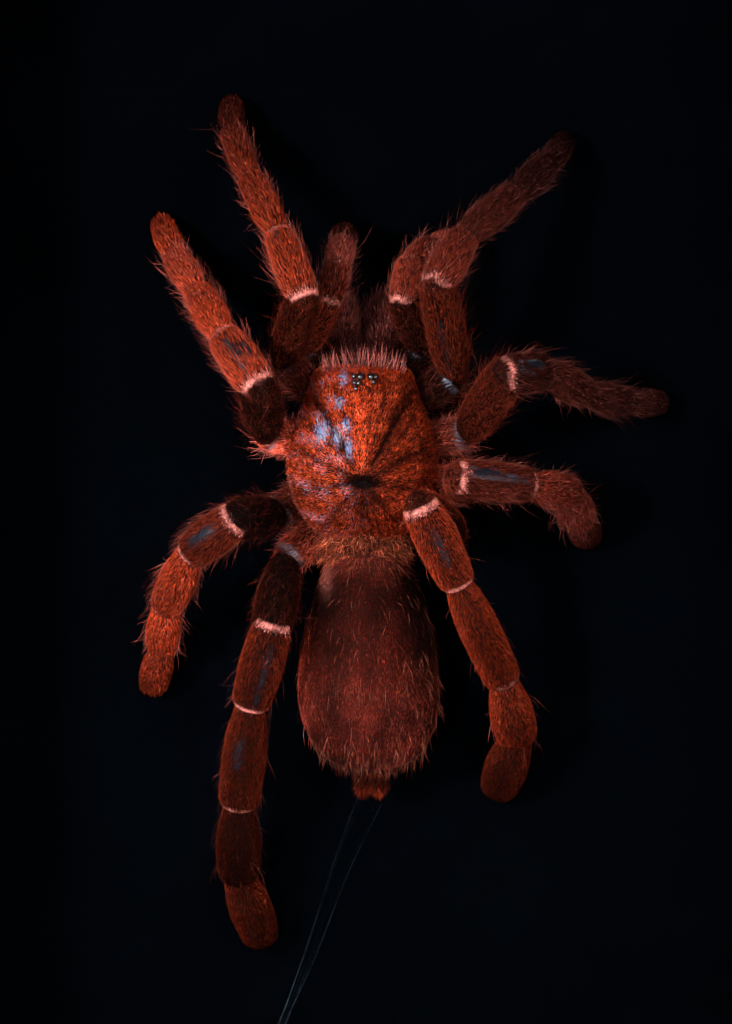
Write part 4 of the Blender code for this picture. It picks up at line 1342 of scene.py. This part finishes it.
# %% Colours of the abdomen
HALF_WIDTH = 11.0
x, up = belly["points"][:, 0], belly["points"][:, 1]
from_left = (x + HALF_WIDTH) / (2 * HALF_WIDTH)
front = smooth(-11.0, -6.5, up)
lower = smooth(-20.0, -30.0, up)
# Painted sheen: a pale grey-mauve patch on the left shoulder.
shoulder_sheen = bell(x, up, (-6.2, -9.8), 0.8, 2.6)
# Painted shade: behind the left shoulder a patch is painted darker, as the shade of a hollow.
hollow_shade = bell(x, up, (-6.4, -14.0), 2.6, 3.2)
# A patch in the middle of the abdomen is brighter.
middle_bright = bell(x, up, (0.6, -22.0), 4.5, 5.0)
mottle = clouds(belly["points"], 5.0, seeded("abdomen_tones"))
# Painted light and shade: the left edge is painted bright, lit by the lamp at the left, and a band
# just inside it is painted darker.
left_edge = smooth(0.14, 0.03, from_left) * smooth(-13, -18, up)
left_shade_band = spread(from_left - 0.27, 0.14) * smooth(-12, -20, up)
shade = 0.17 + 0.07 * smooth(-13, -18, up) + 0.52 * lower + 0.20 * middle_bright + 1.5 * left_edge
shade = shade + 0.50 * front + 0.3 * shoulder_sheen - 0.12 * hollow_shade
shade = shade * (1 - 0.45 * left_shade_band)
# Painted shade: the right side is painted darker, away from the lamp at the left.
shade = (shade - 0.19 * smooth(0.6, 0.9, from_left)) * np.exp(0.22 * mottle)
belly["shade"] = np.clip(shade, 0.05, None)
belly["cool"] = np.clip(0.05 + 0.35 * lower + 0.6 * shoulder_sheen - 0.3 * front, 0, 1)
belly["pale"] = 0.02 * front + 0.15 * shoulder_sheen
new_piece("abdomen_skin", belly, belly_hide, "abdomen", "abdomen")

# %% Coats of the abdomen
rng = seeded("abdomen_hairs")
facing = smooth(-0.5, 0.05, belly["normal"] @ VIEWER)
short = scattered(belly, 0.3 + 19 * facing, rng)
right_side = smooth(0.55, 1.0, from_left) * smooth(-12, -20, up)
rear = smooth(-34.5, -38.5, up)
brow = smooth(-9.5, -7.0, up)
long = scattered(belly, facing * (0.35 + 0.45 * right_side + 1.2 * rear + 4.0 * brow), rng)
long_up = long["points"][:, 1]
long["shade"] = (1.2 + 1.3 * long["shade"]) * (1 - 0.5 * smooth(-35.5, -38.5, long_up))
long["cool"] = 0.3 * long["cool"]
stand = HAIRS["abdomen_long"][2][0] + 0.55 * smooth(-32.0, -38.0, long_up)
belly_coats = joined([coat(short, HAIRS["abdomen_short"], rng),
                      coat(long, HAIRS["abdomen_long"], rng, pale=0.18, stand=stand)])
new_piece("abdomen_fur", belly_coats, belly_fur, "abdomen", "abdomen")

# %% Jaws
rng = seeded("jaw_hairs")
for side, word in ((-1, "left"), (1, "right")):
    jaw = body_skin(shifted(JAW, side, CARAPACE_MIDDLE[0]), 34, 32, 0.35, 0.4, shade=1.1, cool=0.3)
    new_piece(f"chelicera_{word}_skin", jaw, limb_hide, "chelicera", f"chelicera_{word}")
    # Painted shade: the jaws are painted darker towards their base, under the fringe of the
    # carapace's front edge.
    jaw["shade"] = jaw["shade"] * (0.12 + 0.88 * smooth(25.0, 30.0, jaw["points"][:, 1]))
    facing = smooth(-0.6, 0.0, jaw["normal"] @ VIEWER)
    short = scattered(jaw, 3 + 16 * facing, rng)
    long = scattered(jaw, 0.4 + 2.2 * facing, rng)
    coats = joined([coat(short, HAIRS["jaw_short"], rng), coat(long, HAIRS["jaw_long"], rng)])
    new_piece(f"chelicera_{word}_fur", coats, jaw_fur, "chelicera", f"chelicera_{word}")

# %% Spinnerets
SPINNERET_X = {"left": -0.45, "right": 2.05}
SPINNERET_HAIRS = 26.0
for word, centre in SPINNERET_X.items():
    tube = body_skin(shifted(SPINNERET, 1, centre), 24, 24, 0.15, -0.15, shade=0.3)
    tube["shade"] = 0.14 + 0.45 * smooth(-41.8, -43.6, tube["points"][:, 1])
    new_piece(f"spinneret_{word}_skin", tube, limb_hide, "limb", f"spinneret_{word}")
    short = scattered(tube, np.full(len(tube["points"]), SPINNERET_HAIRS), rng)
    new_piece(f"spinneret_{word}_fur", coat(short, HAIRS["spinneret"], rng), limb_fur, "limb",
              f"spinneret_{word}")

# %% [markdown]
# The silk
#
# A drawn strand of dried silk runs from the spinnerets down to the board. It is
# a bundle of threads, each far thinner than a hair, so only its edges and a few
# specks catch the light. Each thread is a thin tube on the strand's middle line,
# moved across it by its own share of the strand's width.

# %% Threads
SILK_ROUTE = ((0.8, -44.4, 8.4, 1.9), (-1.5, -50.0, 6.6, 1.7), (-4.5, -57.5, 4.6, 1.4),
              (-8.9, -69.4, 2.2, 0.95), (-12.8, -79.4, 1.0, 0.55), (-15.6, -86.5, 0.8, 0.8))
THREADS, THREAD_SIDES, THREAD_STEPS = 9, 5, 60
ACROSS_ROUTE = np.array((0.93, -0.36, 0.0))
THICK_RADIUS, THIN_RADIUS = 0.012, 0.006


def thread(number, rng):
    """A closed tube: the route plus its half width times the thread's wandering share."""
    route = smooth_rows(SILK_ROUTE, THREAD_STEPS)
    aside = np.clip(rng.uniform(-0.9, 0.9), -0.8, 0.8)
    if number < 3:
        aside = (-0.95, 0.95, 0.4)[number]
    along = np.linspace(0, 1, THREAD_STEPS)
    wander = aside + 0.12 * np.sin(2 * math.pi * (along * rng.uniform(1, 2.5) + rng.random()))
    middle = route[:, :3] + route[:, 3:] * wander[:, None] * ACROSS_ROUTE
    middle[:, 2] += 0.15 * aside
    turn = 2 * math.pi * np.arange(THREAD_SIDES) / THREAD_SIDES
    uneven = 0.7 + 0.6 * along + 0.3 * np.sin(9 * math.pi * along + number)
    radius = (THICK_RADIUS if number < 2 else THIN_RADIUS) * uneven
    radius[[0, -1]] = 0
    ring = np.cos(turn)[:, None] * ACROSS_ROUTE + np.sin(turn)[:, None] * VIEWER
    rings = middle[:, None, :] + radius[:, None, None] * ring
    bright = 0.10 + 0.9 * smooth(0.35, 1.0, along) + 0.5 * (number < 2)
    return closed_rings(rings, shade=bright[:, None] * np.ones(THREAD_SIDES))


silk_white, tree, shader = finish_material("silk_threads", {"Specular IOR Level": 0.1})
strand = blotches(tree, (600, 600, 600), 3.0, (0.01, 0.018, 0.026), (0.08, 0.12, 0.16))
fill(tree, shader, {"Base Color": shaded(tree, strand["Color"]),
                    "Roughness": ranged(tree, strand["Mask"], 0, 1, 0.5, 0.2)})
rng = seeded("silk")
threads = joined([thread(number, rng) for number in range(THREADS)])
new_piece("silk_strand", threads, silk_white, "silk", "silk")
